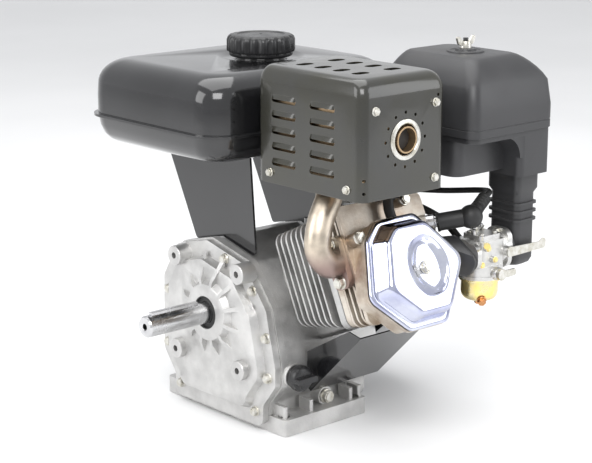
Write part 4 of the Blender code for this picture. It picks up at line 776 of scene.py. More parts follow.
def valve_cover():
    """A deep drawn cover: flat rim, rolled shoulder, raised face, and an oval dish round its bolt."""
    count = 160
    low, high = COVER_FOOT, COVER_FOOT + COVER_RISE
    oval = [Vector((4 + 25 * math.cos(a), 2 + 32 * math.sin(a))) for a in (2 * math.pi * i / count for i in range(count))]
    seat = [Vector((7 * math.cos(a), 7 * math.sin(a))) for a in (2 * math.pi * i / count for i in range(count))]
    steps = [(2, low), (2, low + 2.2), (1.4, low + 2.8), (-3.6, low + 2.8), (-4.8, low + 2.9),
             (-5.8, low + 3.6),
             (-6.4, low + 5), (-9.4, high - 6.5), (-10.2, high - 4), (-11.6, high - 1.8),
             (-13.6, high - 0.5), (-17, high)]
    sections = [([(p.x, p.y) for p in evened(cover_outline(by), count)], z) for by, z in steps]
    face = evened(cover_outline(-17), count)
    for share, drop in ((0.35, 0.0), (0.6, 0.1), (0.8, 0.4), (0.92, 1.2), (1.0, 2.6)):
        sections.append((between(face, oval, share), high - drop))
    for share, drop in ((0.12, 0.5), (0.25, 0.74), (0.4, 0.9), (0.6, 0.98), (0.85, 1.0), (1.0, 1.0)):
        sections.append((between(oval, seat, share), high - drop * DISH_DEPTH))
    sections.append(([(p.x * 0.63, p.y * 0.63) for p in seat], high - DISH_DEPTH))
    sections.append(([(p.x * 0.63, p.y * 0.63) for p in seat], high - DISH_DEPTH - 2))
    inner = [(p.x, p.y) for p in evened(cover_outline(-16), count)]
    foot = [(p.x, p.y) for p in evened(cover_outline(-8), count)]
    sections += [(between(oval, seat, 0.6), high - 0.98 * DISH_DEPTH - 1.5),
                 (between(oval, seat, 0.25), high - 0.74 * DISH_DEPTH - 1.5),
                 (between(face, oval, 1.0), high - 4.1), (inner, high - 2.2), (foot, low + 8), (foot, low)]
    made = loft(sections, COVER, closed=True)
    return finish(made, "rocker_cover", CHROME, nodes=["valve_cover"], smooth=50)


def cover_bolt():
    place = shift(COVER, 0, 0, COVER_FOOT + COVER_RISE - DISH_DEPTH + 0.3)
    return bolts([place], 12.0, 6.5, "rocker_cover_bolt", ZINC, nodes=["valve_cover_bolt"])


# ---------------------------------------------------------------- silencer guard

GUARD_LOW, GUARD_HIGH = Vector((-72, -242, 303)), Vector((58, -70, 435))
OUTLET = Vector((-6, GUARD_LOW.y, 365))


def guard_shell(by, low_by=0.0):
    low, high = GUARD_LOW, GUARD_HIGH
    sections = []
    levels = [(low.z - low_by, 0, 0, 0), (high.z - 20, 0, 0, 0)]
    for k in range(1, 8):
        turn = math.pi / 2 * k / 7
        levels.append((high.z - 20 + 20 * math.sin(turn), 1 - math.cos(turn), 1 - math.cos(turn),
                       1 - math.cos(turn)))
    for height, side, front, back in levels:
        corners = rectangle(low.x - by + 12 * side, low.y - by + 16 * front, high.x + by - 12 * side,
                            high.y + by - 8 * back, 12 + by, 8)
        sections.append((corners, height + (by if height > low.z else 0)))
    return loft(sections)


def slot_cutter(place, length, width, depth):
    return prism(rectangle(-length / 2, -width / 2, length / 2, width / 2, width / 2 - 0.05, 6), -depth,
                 depth, place)


def muffler_guard():
    low, high = GUARD_LOW, GUARD_HIGH
    made = cut(guard_shell(0), guard_shell(-1.6, 1.0))
    face = shift(FRONT, OUTLET.x, OUTLET.z, -OUTLET.y)
    made = cut(made, rod(20.5, -6, 6, 64, face))
    dots = []
    for k in range(12):
        turn = 2 * math.pi * k / 12
        dots.append(rod(1.9, -5, 5, 16, shift(face, 30 * math.cos(turn), 30 * math.sin(turn))))
    for x, z in ((-60, -38), (-60, -52), (50, -46), (50, 44)):
        dots.append(rod(1.9, -5, 5, 16, shift(face, x, z)))
    made = cut(made, gather(dots))
    side = Matrix(((0, 0, 1, low.x), (1, 0, 0, 0), (0, 1, 0, 0), (0, 0, 0, 1)))
    slots = []
    for column in (-117, -180):
        first = slot_cutter(shift(side, column, high.z - 36), 40, 6.4, 4)
        slots.append(grow(first, ROW, HOT_BLACK, Count=5, Step=(0.0, 0.0, -18.0)))
    made = cut(made, gather(slots))
    tops = []
    for column in range(2):
        first = slot_cutter(shift(WORLD, low.x + 40 + 48 * column, low.y + 44, high.z), 22, 13, 4)
        tops.append(grow(first, ROW, HOT_BLACK, Count=4, Step=(0.0, 30.0, 0.0)))
    made = cut(made, gather(tops))
    return finish(made, "silencer_guard", HOT_BLACK, nodes=["muffler_guard"], edge=0.5, limit=40)


def louvre_hoods():
    """Pressed hoods over the guard's side slots, open at the bottom."""
    hoods = []
    for column in (-117, -180):
        sections = []
        for k in range(9):
            turn = math.pi * k / 8
            sections.append((column - 19 * math.cos(turn), math.sin(turn) ** 0.5))
        bm = bmesh.new()
        rows = []
        for y, rise in sections:
            top, out = GUARD_HIGH.z - 30.8, GUARD_LOW.x + 0.2
            rows.append([bm.verts.new(p) for p in ((out, y, top + 1.0 * rise),
                                                   (out - 1.8 * rise, y, top - 1.2),
                                                   (out - 2.8 * rise - 0.05, y, top - 4.6),
                                                   (out - 1.9 * rise - 0.03, y, top - 4.8),
                                                   (out + 0.4, y, top - 1.6))])
        for low_row, high_row in zip(rows, rows[1:]):
            for i in range(5):
                bm.faces.new((low_row[i - 1], low_row[i], high_row[i], high_row[i - 1]))
        bm.faces.new(rows[0])
        bm.faces.new(rows[-1][::-1])
        hoods.append(grow(from_bmesh(bm), ROW, HOT_BLACK, Count=5, Step=(0.0, 0.0, -18.0)))
    return finish(gather(hoods), "guard_louvre_hoods", HOT_BLACK, smooth=50)


def outlet_ring():
    face = shift(FRONT, OUTLET.x, OUTLET.z, -OUTLET.y)
    rim = turned([(17.2, -2.5), (17.2, 1.0), (18.2, 2.0), (20.0, 2.0), (22.4, 1.2), (22.8, 0.4), (20.2, 0.4),
                  (20.2, -2.5)],
                 64, face)
    return finish(rim, "outlet_ring", ZINC, smooth=40)


def guard_screws():
    low, high = GUARD_LOW, GUARD_HIGH
    face = shift(FRONT, 0, 0, -low.y + 0.2)
    side = Matrix(((0, 0, -1, low.x - 0.2), (-1, 0, 0, 0), (0, 1, 0, 0), (0, 0, 0, 1)))
    places = [shift(face, x, z) for x, z in ((-52, high.z - 34), (40, high.z - 34), (40, low.z + 14))]
    places += [shift(side, -y, low.z + 12) for y in (low.y + 22, high.y - 24)]
    return bolts(places, 8.0, 4.0, "guard_screws", ZINC)


def muffler():
    low, high = GUARD_LOW + Vector((9, 12, 10)), GUARD_HIGH - Vector((9, 10, 20))
    sections = []
    for height, inset in ((low.z, 9), (low.z + 4, 3), (low.z + 10, 0), (high.z - 10, 0), (high.z - 4, 3),
                          (high.z, 9)):
        sections.append((rectangle(low.x + inset, low.y + inset, high.x - inset, high.y - inset, 14, 6),
                         height))
    made = loft(sections)
    middle = (low.z + high.z) / 2
    seam = block((low.x - 2.5, low.y - 2.5, middle - 1.5), (high.x + 2.5, high.y + 2.5, middle + 1.5), 15)
    face = shift(FRONT, OUTLET.x, OUTLET.z)
    made = fuse(made, seam, rod(15, -low.y - 10, -OUTLET.y + 3, 48, face))
    made = cut(made, rod(13, -low.y - 30, -OUTLET.y + 6, 48, face))
    return finish(made, "silencer", PIPE, nodes=["muffler"], edge=0.6)


def silencer_mouth():
    """The sooty spark screen just inside the outlet."""
    face = shift(FRONT, OUTLET.x, OUTLET.z, -OUTLET.y)
    return finish(turned([(0, -9), (12.6, -9), (12.6, -7.4), (5, -6.2), (0, -6)], 48, face), "spark_screen",
                  SOOT)


# ---------------------------------------------------------------- fuel tank

TANK_LOW, TANK_HIGH = Vector((-125, -58, 318)), Vector((168, 188, 420))
CAP_X, CAP_Y, CAP_RADIUS = 45.0, 58.0, 42.0
NECK_RADIUS = 30.0
LEG_OUTLINE = [(-44, 202), (16, 216.5), (66, 204.5), (126, TANK_LOW.z + 6), (-34, TANK_LOW.z + 6)]


def tank_sections(by=0.0):
    """Outlines of the tank's two pressings, with rolled shoulders above and below the seam."""
    low, high = TANK_LOW, TANK_HIGH
    seam = low.z + 34.5
    levels = [(low.z, 28), (low.z + 0.6, 24), (low.z + 2.6, 17), (low.z + 6, 11), (low.z + 12, 6),
              (low.z + 22, 2.4),
              (seam, 0.4), (seam + 24, 0.2)]
    for k in range(10):
        turn = math.pi / 2 * k / 9
        levels.append((high.z - 30 + 30 * math.sin(turn), 1 + 32 * (1 - math.cos(turn))))
    return [(rectangle(low.x + inset - by, low.y + inset - by, high.x - inset + by, high.y - inset + by,
                       max(36 - inset * 0.4 + by, 8), 10), height) for height, inset in levels]


def fuel_tank():
    made = loft(tank_sections())
    seam = TANK_LOW.z + 33
    flange = block((TANK_LOW.x - 4, TANK_LOW.y - 4, seam), (TANK_HIGH.x + 4, TANK_HIGH.y + 4, seam + 3), 38,
                   steps=12)
    cap = shift(WORLD, CAP_X, CAP_Y)
    well = turned([(0, TANK_HIGH.z - 3), (48, TANK_HIGH.z - 3), (56, TANK_HIGH.z + 1), (0, TANK_HIGH.z + 1)],
                  72, cap)
    neck = rod(NECK_RADIUS, TANK_HIGH.z - 6, TANK_HIGH.z + 8, 64, cap)
    bead = turned([(26, TANK_HIGH.z + 5.4), (NECK_RADIUS + 1.4, TANK_HIGH.z + 5.4),
                   (NECK_RADIUS + 2, TANK_HIGH.z + 6.6),
                   (NECK_RADIUS + 1.4, TANK_HIGH.z + 7.8), (26, TANK_HIGH.z + 7.8)], 64, cap)
    made = fuse(cut(fuse(made, flange), well), neck, bead)
    legs = [prism(rounded(LEG_OUTLINE, 5, 4), x, x + 3, SIDE) for x in (-52, 70)]
    spout = rod(6, TANK_LOW.z - 9, TANK_LOW.z + 6, 32, shift(WORLD, 104, -28))
    made = fuse(made, *legs, spout)
    made = cut(made, rod(NECK_RADIUS - 3, TANK_HIGH.z - 20, TANK_HIGH.z + 10, 64, cap))
    made = cut(made, rod(3, TANK_LOW.z - 12, TANK_LOW.z - 2, 16, shift(WORLD, 104, -28)))
    return finish(made, "tank", GLOSS, nodes=["fuel_tank"], edge=1.0, steps=3, limit=40)


def tank_cap():
    """A cap with finger scallops and a raised centre, on its flanged skirt."""
    foot = TANK_HIGH.z + GAP
    crown = foot + 26
    count = 20 * 8
    place = shift(WORLD, CAP_X, CAP_Y)

    def scalloped(radius, depth):
        angles = [2 * math.pi * i / count for i in range(count)]
        return [((radius - depth * (0.5 - 0.5 * math.cos(20 * a)) ** 2) * math.cos(a),
                 (radius - depth * (0.5 - 0.5 * math.cos(20 * a)) ** 2) * math.sin(a)) for a in angles]

    r = CAP_RADIUS
    steps = [(NECK_RADIUS + 3, 0, foot), (r - 5, 0, foot), (r - 3.6, 0, foot + 0.8), (r - 3, 0, foot + 3),
             (r - 3.4, 0, foot + 5),
             (r - 0.6, 2.6, foot + 6), (r, 3.2, foot + 7.6), (r - 0.2, 3.2, crown - 6),
             (r - 1.6, 2.8, crown - 2.4),
             (r - 4.2, 1.6, crown - 0.5), (r - 8, 0, crown), (r - 12, 0, crown), (r - 13, 0, crown - 1),
             (r - 14.4, 0, crown - 1.2), (12, 0, crown - 0.4), (2, 0, crown)]
    top = loft([(scalloped(radius, depth), z) for radius, depth, z in steps]
               + [(scalloped(2, 0), foot + 12), (scalloped(NECK_RADIUS + 3, 0), foot + 12)], place,
               closed=True)
    return finish(top, "filler_cap", KNOB, "cap", ["tank_cap"], smooth=45)


# ---------------------------------------------------------------- air cleaner

CLEANER_LOW, CLEANER_HIGH = Vector((92, -252, 298)), Vector((232, -96, 438))
CLEANER_SPLIT = 352.0
STUD = (162, -172)
ELBOW = (207, -212)


def cleaner_shell(by, foot):
    low, high = CLEANER_LOW, CLEANER_HIGH
    levels = [(foot, 0, 0, 0, 0), (high.z - 58, 0, 0, 0, 0), (high.z - 30, 3, 4, 2.5, 3.5)]
    for k in range(1, 7):
        t = k / 6
        bend = t * t * (3 - 2 * t) * 0.25 + t * 0.75
        levels.append((high.z - 30 + 30 * (1 - (1 - t) ** 1.6), 3 + 27 * bend, 4 + 28 * bend,
                       2.5 + 31 * bend, 3.5 + 12 * bend))
    return loft([(rectangle(low.x - by + a, low.y - by + b, high.x + by - c, high.y + by - d, 14 + by, 8),
                  z + (by if z > foot else 0)) for z, a, b, c, d in levels])


def cleaner_cover():
    made = cut(cleaner_shell(0, CLEANER_SPLIT + GAP), cleaner_shell(-2.4, CLEANER_SPLIT - 1))
    top = CLEANER_HIGH.z
    pad = turned([(0, top - 6), (23, top - 6), (22, top + 1.4), (20.6, top + 2), (18, top + 2),
                  (17, top + 1.2), (16, top + 1),
                  (13, top + 1.2), (12, top + 4), (0, top + 4)], 64, shift(WORLD, *STUD))
    made = fuse(made, pad)
    groove = cut(block((CLEANER_LOW.x - 4, CLEANER_LOW.y - 4, CLEANER_SPLIT + 9),
                       (CLEANER_HIGH.x + 4, CLEANER_HIGH.y + 4,
                                                                                   CLEANER_SPLIT + 10.4), 18, steps=8),
                 block((CLEANER_LOW.x + 0.7, CLEANER_LOW.y + 0.7, CLEANER_SPLIT),
                       (CLEANER_HIGH.x - 0.7, CLEANER_HIGH.y - 0.7,
                                                                                   CLEANER_SPLIT + 20), 13.3, steps=8))
    made = cut(made, groove, rod(3.6, top - 12, top + 8, 32, shift(WORLD, *STUD)))
    return finish(made, "cleaner_cover", PLASTIC, "cleaner_lid", ["air_cleaner_cover"], edge=1.4, steps=4,
                  limit=28,
                  smooth=40)


def cleaner_base():
    low, high = CLEANER_LOW, CLEANER_HIGH
    body = block((low.x + 5, low.y + 30, low.z + 6), (high.x - 4, high.y - 2, CLEANER_SPLIT), 14, steps=8)
    lip = block((low.x + 3, low.y + 3, CLEANER_SPLIT - 6), (high.x - 3, high.y - 3, CLEANER_SPLIT), 13,
                steps=8)
    leg = block((high.x - 56, low.y + 3, low.z), (high.x - 3, high.y - 50, CLEANER_SPLIT), 8, steps=6)
    sweep = []
    for k in range(9):
        turn = math.pi / 2 * k / 8
        sweep.append((high.x - 56 - 26 * (1 - math.cos(turn)), CLEANER_SPLIT - 5 - 26 * (1 - math.sin(turn))))
    gusset = prism(sweep + [(high.x - 40, CLEANER_SPLIT - 5), (high.x - 40, CLEANER_SPLIT - 31)],
                   -(low.y + 40), -(low.y + 3.4), FRONT)
    made = fuse(body, lip, leg, gusset)
    inside = block((low.x + 8, low.y + 33, low.z + 9), (high.x - 7, high.y - 5, CLEANER_SPLIT + 1), 11,
                   steps=8)
    place = shift(WORLD, *STUD)
    made = cut(made, inside)
    made = fuse(made, rod(10, low.z + 6, low.z + 22, 32, place), rod(3, low.z + 6, high.z + 16, 24, place))
    made = cut(made, rod(15, low.z - 4, low.z + 30, 40, shift(WORLD, *ELBOW)))
    return finish(made, "cleaner_base", PLASTIC, nodes=["air_cleaner_base"], edge=0.9, steps=3)


def wing_nut():
    place = shift(WORLD, *STUD)
    low = CLEANER_HIGH.z + 4 + GAP
    hub = turned([(3.5, low), (7, low), (7, low + 1), (6.4, low + 6), (5.6, low + 8), (3.5, low + 8)], 40,
                 place)
    made = [hub]
    for side in (-1, 1):
        outline = [(side * 4.2, low + 1.6), (side * 13, low + 5), (side * 16, low + 13),
                   (side * 11.5, low + 14),
                   (side * 4.8, low + 7)]
        made.append(prism(rounded(outline, 1.6, 5), -1.4, 1.4, shift(FRONT, STUD[0], 0, -STUD[1])))
    return finish(fuse(*made), "lid_wing_nut", ZINC, "lid_nut", ["wing_nut"], edge=0.6, steps=3)


# ---------------------------------------------------------------- carburettor and intake

CARB_X0, CARB_X1 = 118.0, 186.0
CARB_Y, CARB_Z = -214.0, 208.0
BOWL_X = 150.0
CHOKE_X = 174.0
CARB = SIDE @ Matrix.Translation((CARB_Y, CARB_Z, 0))
PORT_AXIS = HEAD_FOOT + 25.2
INTAKE_PORT = Vector((92.0, -183.7, 207.6))
EXHAUST_PORT = Vector((-40.0, -177.8, 220.3))


def port(point):
    """A port's frame: local x across the flange, y along it, z outwards along X."""
    return Matrix.Translation((0, point.y, point.z)) @ SIDE @ Matrix.Rotation(math.pi / 2 - TILT, 4, "Z")


def intake_elbow():
    x, y = ELBOW
    top = CLEANER_LOW.z - GAP
    levels = [(CARB_Z - 24, 5, 8), (CARB_Z - 21, 1.5, 3), (CARB_Z - 15, 0, 0)]
    for k in range(3):
        start = CARB_Z + 30 + 10 * k
        levels += [(start, 0, 0), (start + 0.6, -2.4, -2.4), (start + 3.6, -2.4, -2.4), (start + 4.2, 0, 0)]
    levels += [(top - 26, 0, 0), (top - 20, -3, -3), (top, -3, -3)]
    pillar = loft([(rectangle(x - 17 + a, y - 22 + b, x + 17 - a, y + 22 - b, 8, 6), z) for z, a,
                   b in levels])
    collar = turned([(0, CARB_X1 + GAP), (19, CARB_X1 + GAP), (19, CARB_X1 + 4), (17.6, CARB_X1 + 5),
                     (17.6, x), (0, x)],
                    48, CARB)
    inner = rectangle(x - 14.5, y - 19.5, x + 14.5, y + 19.5, 6, 6)
    made = cut(fuse(pillar, collar), prism(inner, CARB_Z - 18, top + 1), rod(14, CARB_X1 - 5, x, 48, CARB))
    return finish(made, "elbow", PLASTIC, nodes=["intake_elbow"], edge=0.5, limit=40)


def carburettor():
    barrel = turned([(12.5, CARB_X0), (19.5, CARB_X0), (19.5, CARB_X0 + 9), (17.4, CARB_X0 + 12),
                     (17.4, CARB_X1 - 14),
                     (19.5, CARB_X1 - 11), (19.5, CARB_X1), (12.5, CARB_X1)], 64, CARB)
    inlet = prism(rectangle(-26, -16, 26, 16, 12, 6), CARB_X0, CARB_X0 + 7, CARB)
    outlet = prism(rectangle(-18, -24, 18, 24, 12, 6), CARB_X1 - 7, CARB_X1, CARB)
    tower = block((CARB_X0 + 14, CARB_Y - 20, CARB_Z - 22), (CARB_X1 - 14, CARB_Y + 20, CARB_Z + 16), 6)
    lid = block((CARB_X0 + 17, CARB_Y - 16, CARB_Z + 14), (CARB_X1 - 17, CARB_Y + 16, CARB_Z + 22), 5)
    under = shift(WORLD, BOWL_X, CARB_Y)
    bowl_top = rod(25, CARB_Z - 30, CARB_Z - 14, 64, under)
    rim = rod(26.4, CARB_Z - 30, CARB_Z - 26, 64, under)
    choke = rod(6, -CARB_Y + 14, -CARB_Y + 25, 32, shift(FRONT, CHOKE_X, CARB_Z))
    cock = turned([(0, -CARB_Y + 14), (8, -CARB_Y + 14), (8, -CARB_Y + 28), (6.4, -CARB_Y + 31),
                   (0, -CARB_Y + 31)], 40,
                  shift(FRONT, BOWL_X, CARB_Z - 22))
    jets = [rod(4.2, -CARB_Y + 10, -CARB_Y + 24, 24, shift(FRONT, x, CARB_Z + z)) for x,
            z in ((138, 9), (150, -6), (128, -9))]
    spindle = rod(4.5, CARB_Z - 12, CARB_Z + 26, 32, shift(WORLD, CARB_X0 + 22, CARB_Y))
    made = fuse(barrel, inlet, outlet, tower, lid, bowl_top, rim, choke, cock, spindle, *jets)
    made = cut(made, rod(12.5, CARB_X0 - 1, CARB_X1 + 1, 64, CARB))
    made = cut(made, rod(2.8, -CARB_Y + 4, -CARB_Y + 36, 24, shift(FRONT, CHOKE_X, CARB_Z)))
    return finish(made, "carburettor", FINE_CAST, nodes=["carburetor_body"], edge=0.7, steps=2, limit=30)


def carburettor_screws():
    """The lid, jet and flange screws, and the brass idle screw in its spring."""
    up = Matrix.Translation((0, 0, CARB_Z + 22))
    places = [shift(up, x, CARB_Y + y) for x in (CARB_X0 + 23, CARB_X1 - 23) for y in (-10, 10)]
    made = bolts(places, 5.0, 2.4, "carburettor_lid_screws", ZINC)
    front = shift(FRONT, 0, 0, -CARB_Y + 23.5)
    bolts([shift(front, x, CARB_Z + z) for x, z in ((138, 9), (150, -6), (128, -9))], 6.0, 2.6, "jet_screws",
          YELLOW)
    ends = [shift(CARB, 0, side * 19, CARB_X1 - 7) @ Matrix.Rotation(math.pi, 4, "X") for side in (-1, 1)]
    bolts(ends, 8.0, 4.5, "carburettor_nuts", ZINC)
    idle = gather([rod(1.6, 0, 22, 20, aim((141, CARB_Y - 18, CARB_Z + 12), (126, CARB_Y - 32, CARB_Z + 16))),
                   rod(4, 18, 26, 20, aim((141, CARB_Y - 18, CARB_Z + 12), (126, CARB_Y - 32, CARB_Z + 16)))])
    finish(idle, "idle_screw", YELLOW, edge=0.3)
    return made


def throttle_linkage():
    """The throttle arm on its spindle, with the wire that runs back to the governor."""
    top = CARB_Z + 26.3
    arm = prism(rounded([(-6, -6), (26, -4), (26, 4), (-6, 6)], 3, 5), top, top + 1.6,
                shift(WORLD, CARB_X0 + 22, CARB_Y) @ Matrix.Rotation(math.radians(25), 4, "Z"))
    finish(arm, "throttle_arm", ZINC, edge=0.3)
    bolts([Matrix.Translation((CARB_X0 + 22, CARB_Y, top + 1.6))], 6.0, 3.0, "throttle_arm_screw", ZINC)
    low = Vector((CARB_X0 + 40, CARB_Y + 7, top + 1.8))
    bend = Vector((106, -152, 248))
    far = Vector((70, -36, 262))
    wire = tube([low + Vector((0, 0, -3)), low + Vector((0, 0, 1)), low + Vector((-2, 5, 2.4)), bend,
                 (92, -112, 256),
                 far + Vector((6, -14, -4)), far], 1.1, 12, 8)
    return finish(wire, "governor_wire", STEEL)


def float_bowl():
    top = CARB_Z - 30 - GAP
    made = turned([(0, top - 29), (7, top - 29), (9, top - 28.4), (15, top - 27), (18.6, top - 25),
                   (21, top - 21.6),
                   (22, top - 17), (22, top - 4.4), (22.6, top - 3.4), (24.2, top - 3), (24.5, top - 1.6),
                   (24.5, top), (20, top),
                   (20, top - 19), (14, top - 24), (0, top - 24)], 72, shift(WORLD, BOWL_X, CARB_Y))
    finish(made, "fuel_bowl", YELLOW, nodes=["float_bowl"], smooth=45)
    down = Matrix.Translation((BOWL_X, CARB_Y, top - 28.8)) @ Matrix.Rotation(math.pi, 4, "X")
    bolts([down], 10.0, 5.0, "bowl_bolt", BRONZE)
    side = aim((BOWL_X - 13, CARB_Y - 16, top - 24), (BOWL_X - 24, CARB_Y - 28, top - 33))
    return bolts([side], 9.0, 6.0, "bowl_drain_screw", BRONZE)


BRONZE = surface("Copper flashed steel", (0.62, 0.30, 0.13), 0.34, 1.0, scale=700, relief=0.12, cloud=0.2,
                 clouds=120, dust=0.02)
HOT_CAST = surface("Heat stained aluminium", (0.60, 0.56, 0.50), 0.42, 0.85, scale=520, relief=0.35,
                   depth=0.0006,
                   cloud=0.2, clouds=22, tint=(0.36, 0.28, 0.21), worn=(0.80, 0.76, 0.70), dust=0.06,
                   spread=0.2)


# ---------------------------------------------------------------- crankcase, cylinder and head


def cylinder_block():
    outline = rounded(CASE_OUTLINE, 12, 6)
    body = prism(outline, CASE_X0, CASE_X1, SIDE)
    base = block((-66, -112, 0), (66, 112, BASE_THICK), 6)
    liner = 47.5 + GAP
    barrel = rod(54, 60, DECK, 64, CYLINDER)
    tunnel = block((-27, -PUSHROD_OFFSET - 11, 44), (27, -40, DECK - 4), 6, CYLINDER)
    deck = block((-60, -70, DECK - 9), (60, 62, DECK), 12, CYLINDER)
    filler = turned([(0, 90), (15, 90), (15, 108), (14, 111), (0, 111)], 48, shift(FRONT, -50, 72))
    drain = rod(11, 60, 96, 48, shift(FRONT, 12, 30))
    lug = block((44, -40, 190), (60, -20, 230), 4)
    rails = [block((x - 3, -106, 12), (x + 3, -84, 34), 2.5) for x in (-58, -18, 46, 60)]
    bead = prism(rounded(grown(CASE_OUTLINE, 3), 13, 6), CASE_X0, CASE_X0 + 9, SIDE)
    keep = block((-80, -130, BASE_THICK + 0.5), (0, 130, 260))
    overlap = bead.modifiers.new("Keep", "BOOLEAN")
    overlap.operation = "INTERSECT"
    overlap.object = keep
    settle(bead)
    bpy.data.objects.remove(keep)
    body = fuse(body, base, barrel, tunnel, deck, filler, drain, lug, bead, *rails)
    for angle in (40, 225, 315):
        y, z = 93 * math.cos(math.radians(angle)), 93 * math.sin(math.radians(angle))
        body = fuse(body, rod(8, CASE_X1 - 4, 94.2, 32, shift(CRANK, y, z)))
    inner = rounded(grown(CASE_OUTLINE, -7), 7, 6)
    body = cut(body, prism(inner, CASE_X0 - 1, CASE_X1 - 7, SIDE))
    body = fuse(body, rod(38, CASE_X1 - 19, CASE_X1 - 1, 48, CRANK))
    body = cut(body, rod(liner, 20, DECK + 1, 64, CYLINDER),
               block((-20, -PUSHROD_OFFSET - 8, 20), (20, -PUSHROD_OFFSET + 6, DECK + 1), 4, CYLINDER),
               rod(26.3, CASE_X1 - 21, CASE_X1 - 4, 64, CRANK), rod(20, CASE_X1 - 30, CASE_X1 + 1, 64, CRANK),
               rod(9, 82, 113, 40, shift(FRONT, -50, 72)), rod(3.3, 43, 61, 24, shift(SIDE, -30, 222)))
    for x in (-BASE_X, BASE_X):
        for y in (-BASE_Y, BASE_Y):
            body = cut(body, rod(5.5, -1, 21, 40, shift(WORLD, x, y)),
                       rod(9.5, 19.2, 22, 40, shift(WORLD, x, y)))
    return finish(body, "crankcase", CAST, nodes=["cylinder_block"], edge=1.6, steps=3, limit=30)


def cylinder_fins():
    """The cooling fins, each a little wider below than the one before it, as one cast stack."""
    made = []
    for k in range(7):
        level = 96 + 9.4 * k
        low = -52 - 2.2 * k
        plate = prism(rectangle(-66, low, 66, 62, 14, 7), level, level + 2.6, CYLINDER)
        made.append(cut(plate, rod(53.2, level - 1, level + 4, 64, CYLINDER)))
    return finish(gather(made), "cylinder_fins", CAST, edge=0.7, steps=2)


def head():
    top_half = 66
    foot = block((-60, -70, HEAD_FOOT), (60, 62, HEAD_FOOT + 8), 12, CYLINDER)
    core = block((-50, -70, HEAD_FOOT), (50, 50, HEAD_TOP), 10, CYLINDER)
    top = block((-top_half, -74, HEAD_TOP - 5), (top_half, 64, HEAD_TOP), 10, CYLINDER, 7)
    box = prism(cover_outline(), HEAD_TOP - 1, BOX_TOP, COVER)
    lip = prism(cover_outline(2.5, 15), BOX_TOP - 5, BOX_TOP, COVER)
    in_boss = block((-20, -13, CYLINDER_X), (20, 13, 92), 8, port(INTAKE_PORT))
    out_boss = block((-28, -13, -40), (28, 13, CYLINDER_X), 8, port(EXHAUST_PORT))
    plug = bar(PLUG_SEAT, PLUG_ROOT, 11.5, 40)
    made = fuse(foot, core, top, box, lip, in_boss, out_boss, plug)
    for k in range(3):
        level = HEAD_FOOT + 13 + 8.5 * k
        made = fuse(made, block((-64, -72, level), (64, 62, level + 2.6), 12, CYLINDER, 7))
    for x, y in ((-64, 26), (-66, -46), (56, -52), (30, 62)):
        made = fuse(made, rod(7.5, HEAD_TOP - 5, HEAD_TOP + 12, 32, shift(CYLINDER, x * 0.88, y * 0.9)))
    made = cut(made, rod(38, HEAD_FOOT - 1, HEAD_FOOT + 12, 64, CYLINDER),
               prism(cover_outline(-7, 10), HEAD_TOP + 7, BOX_TOP + 1, COVER),
               block((-20, -PUSHROD_OFFSET - 8, HEAD_FOOT - 1), (20, -PUSHROD_OFFSET + 6, HEAD_TOP + 9), 4,
                     CYLINDER),
               rod(13, CYLINDER_X + 24, CYLINDER_X + 80, 48, port(INTAKE_PORT)),
               rod(13, CYLINDER_X - 80, CYLINDER_X - 24, 48, port(EXHAUST_PORT)),
               bar(PLUG_SEAT + PLUG_WAY * 2, PLUG_ROOT - PLUG_WAY * 34, 7.3),
               bar(PLUG_SEAT, PLUG_SEAT + PLUG_WAY * 40, 13))
    for side in (-1, 1):
        made = cut(made, rod(4, HEAD_FOOT, HEAD_TOP + 12, 24, shift(CYLINDER, side * 19)),
                   rod(13, HEAD_FOOT + 4, PORT_AXIS, 40, shift(CYLINDER, side * 19)))
    return finish(made, "head", HOT_CAST, nodes=["cylinder_head"], edge=0.9, steps=2, limit=30)


PLUG_ROOT = on_cylinder(44, 26, HEAD_FOOT + 27)
PLUG_WAY = (on_cylinder(61, -10, 57) - on_cylinder(0, 0, 0)).normalized()
PLUG_SEAT = PLUG_ROOT + PLUG_WAY * 24
BALL = PLUG_SEAT + PLUG_WAY * 52
LEAD_WAY = Vector((0.88, 0.26, 0.40)).normalized()
LEAD_START = BALL + LEAD_WAY * 40


def head_bolts():
    places = [shift(CYLINDER, x * 0.88, y * 0.9, HEAD_TOP + 12) for x,
              y in ((-64, 26), (-66, -46), (56, -52), (30, 62))]
    return bolts(places, 12.0, 7.0, "head_bolts", ZINC)


def cover_gasket():
    low = BOX_TOP + GAP
    made = cut(prism(cover_outline(1.5), low, low + 1.2, COVER), prism(cover_outline(-6, 10), low - 1,
                                                                       low + 3, COVER))
    return finish(made, "rocker_cover_gasket", RUBBER, nodes=["valve_cover_gasket"])


def pto_points():
    return [(PTO_RADIUS * math.cos(a), PTO_RADIUS * math.sin(a)) for a in (math.pi / 4 + math.pi / 2 * k for k in range(4))]


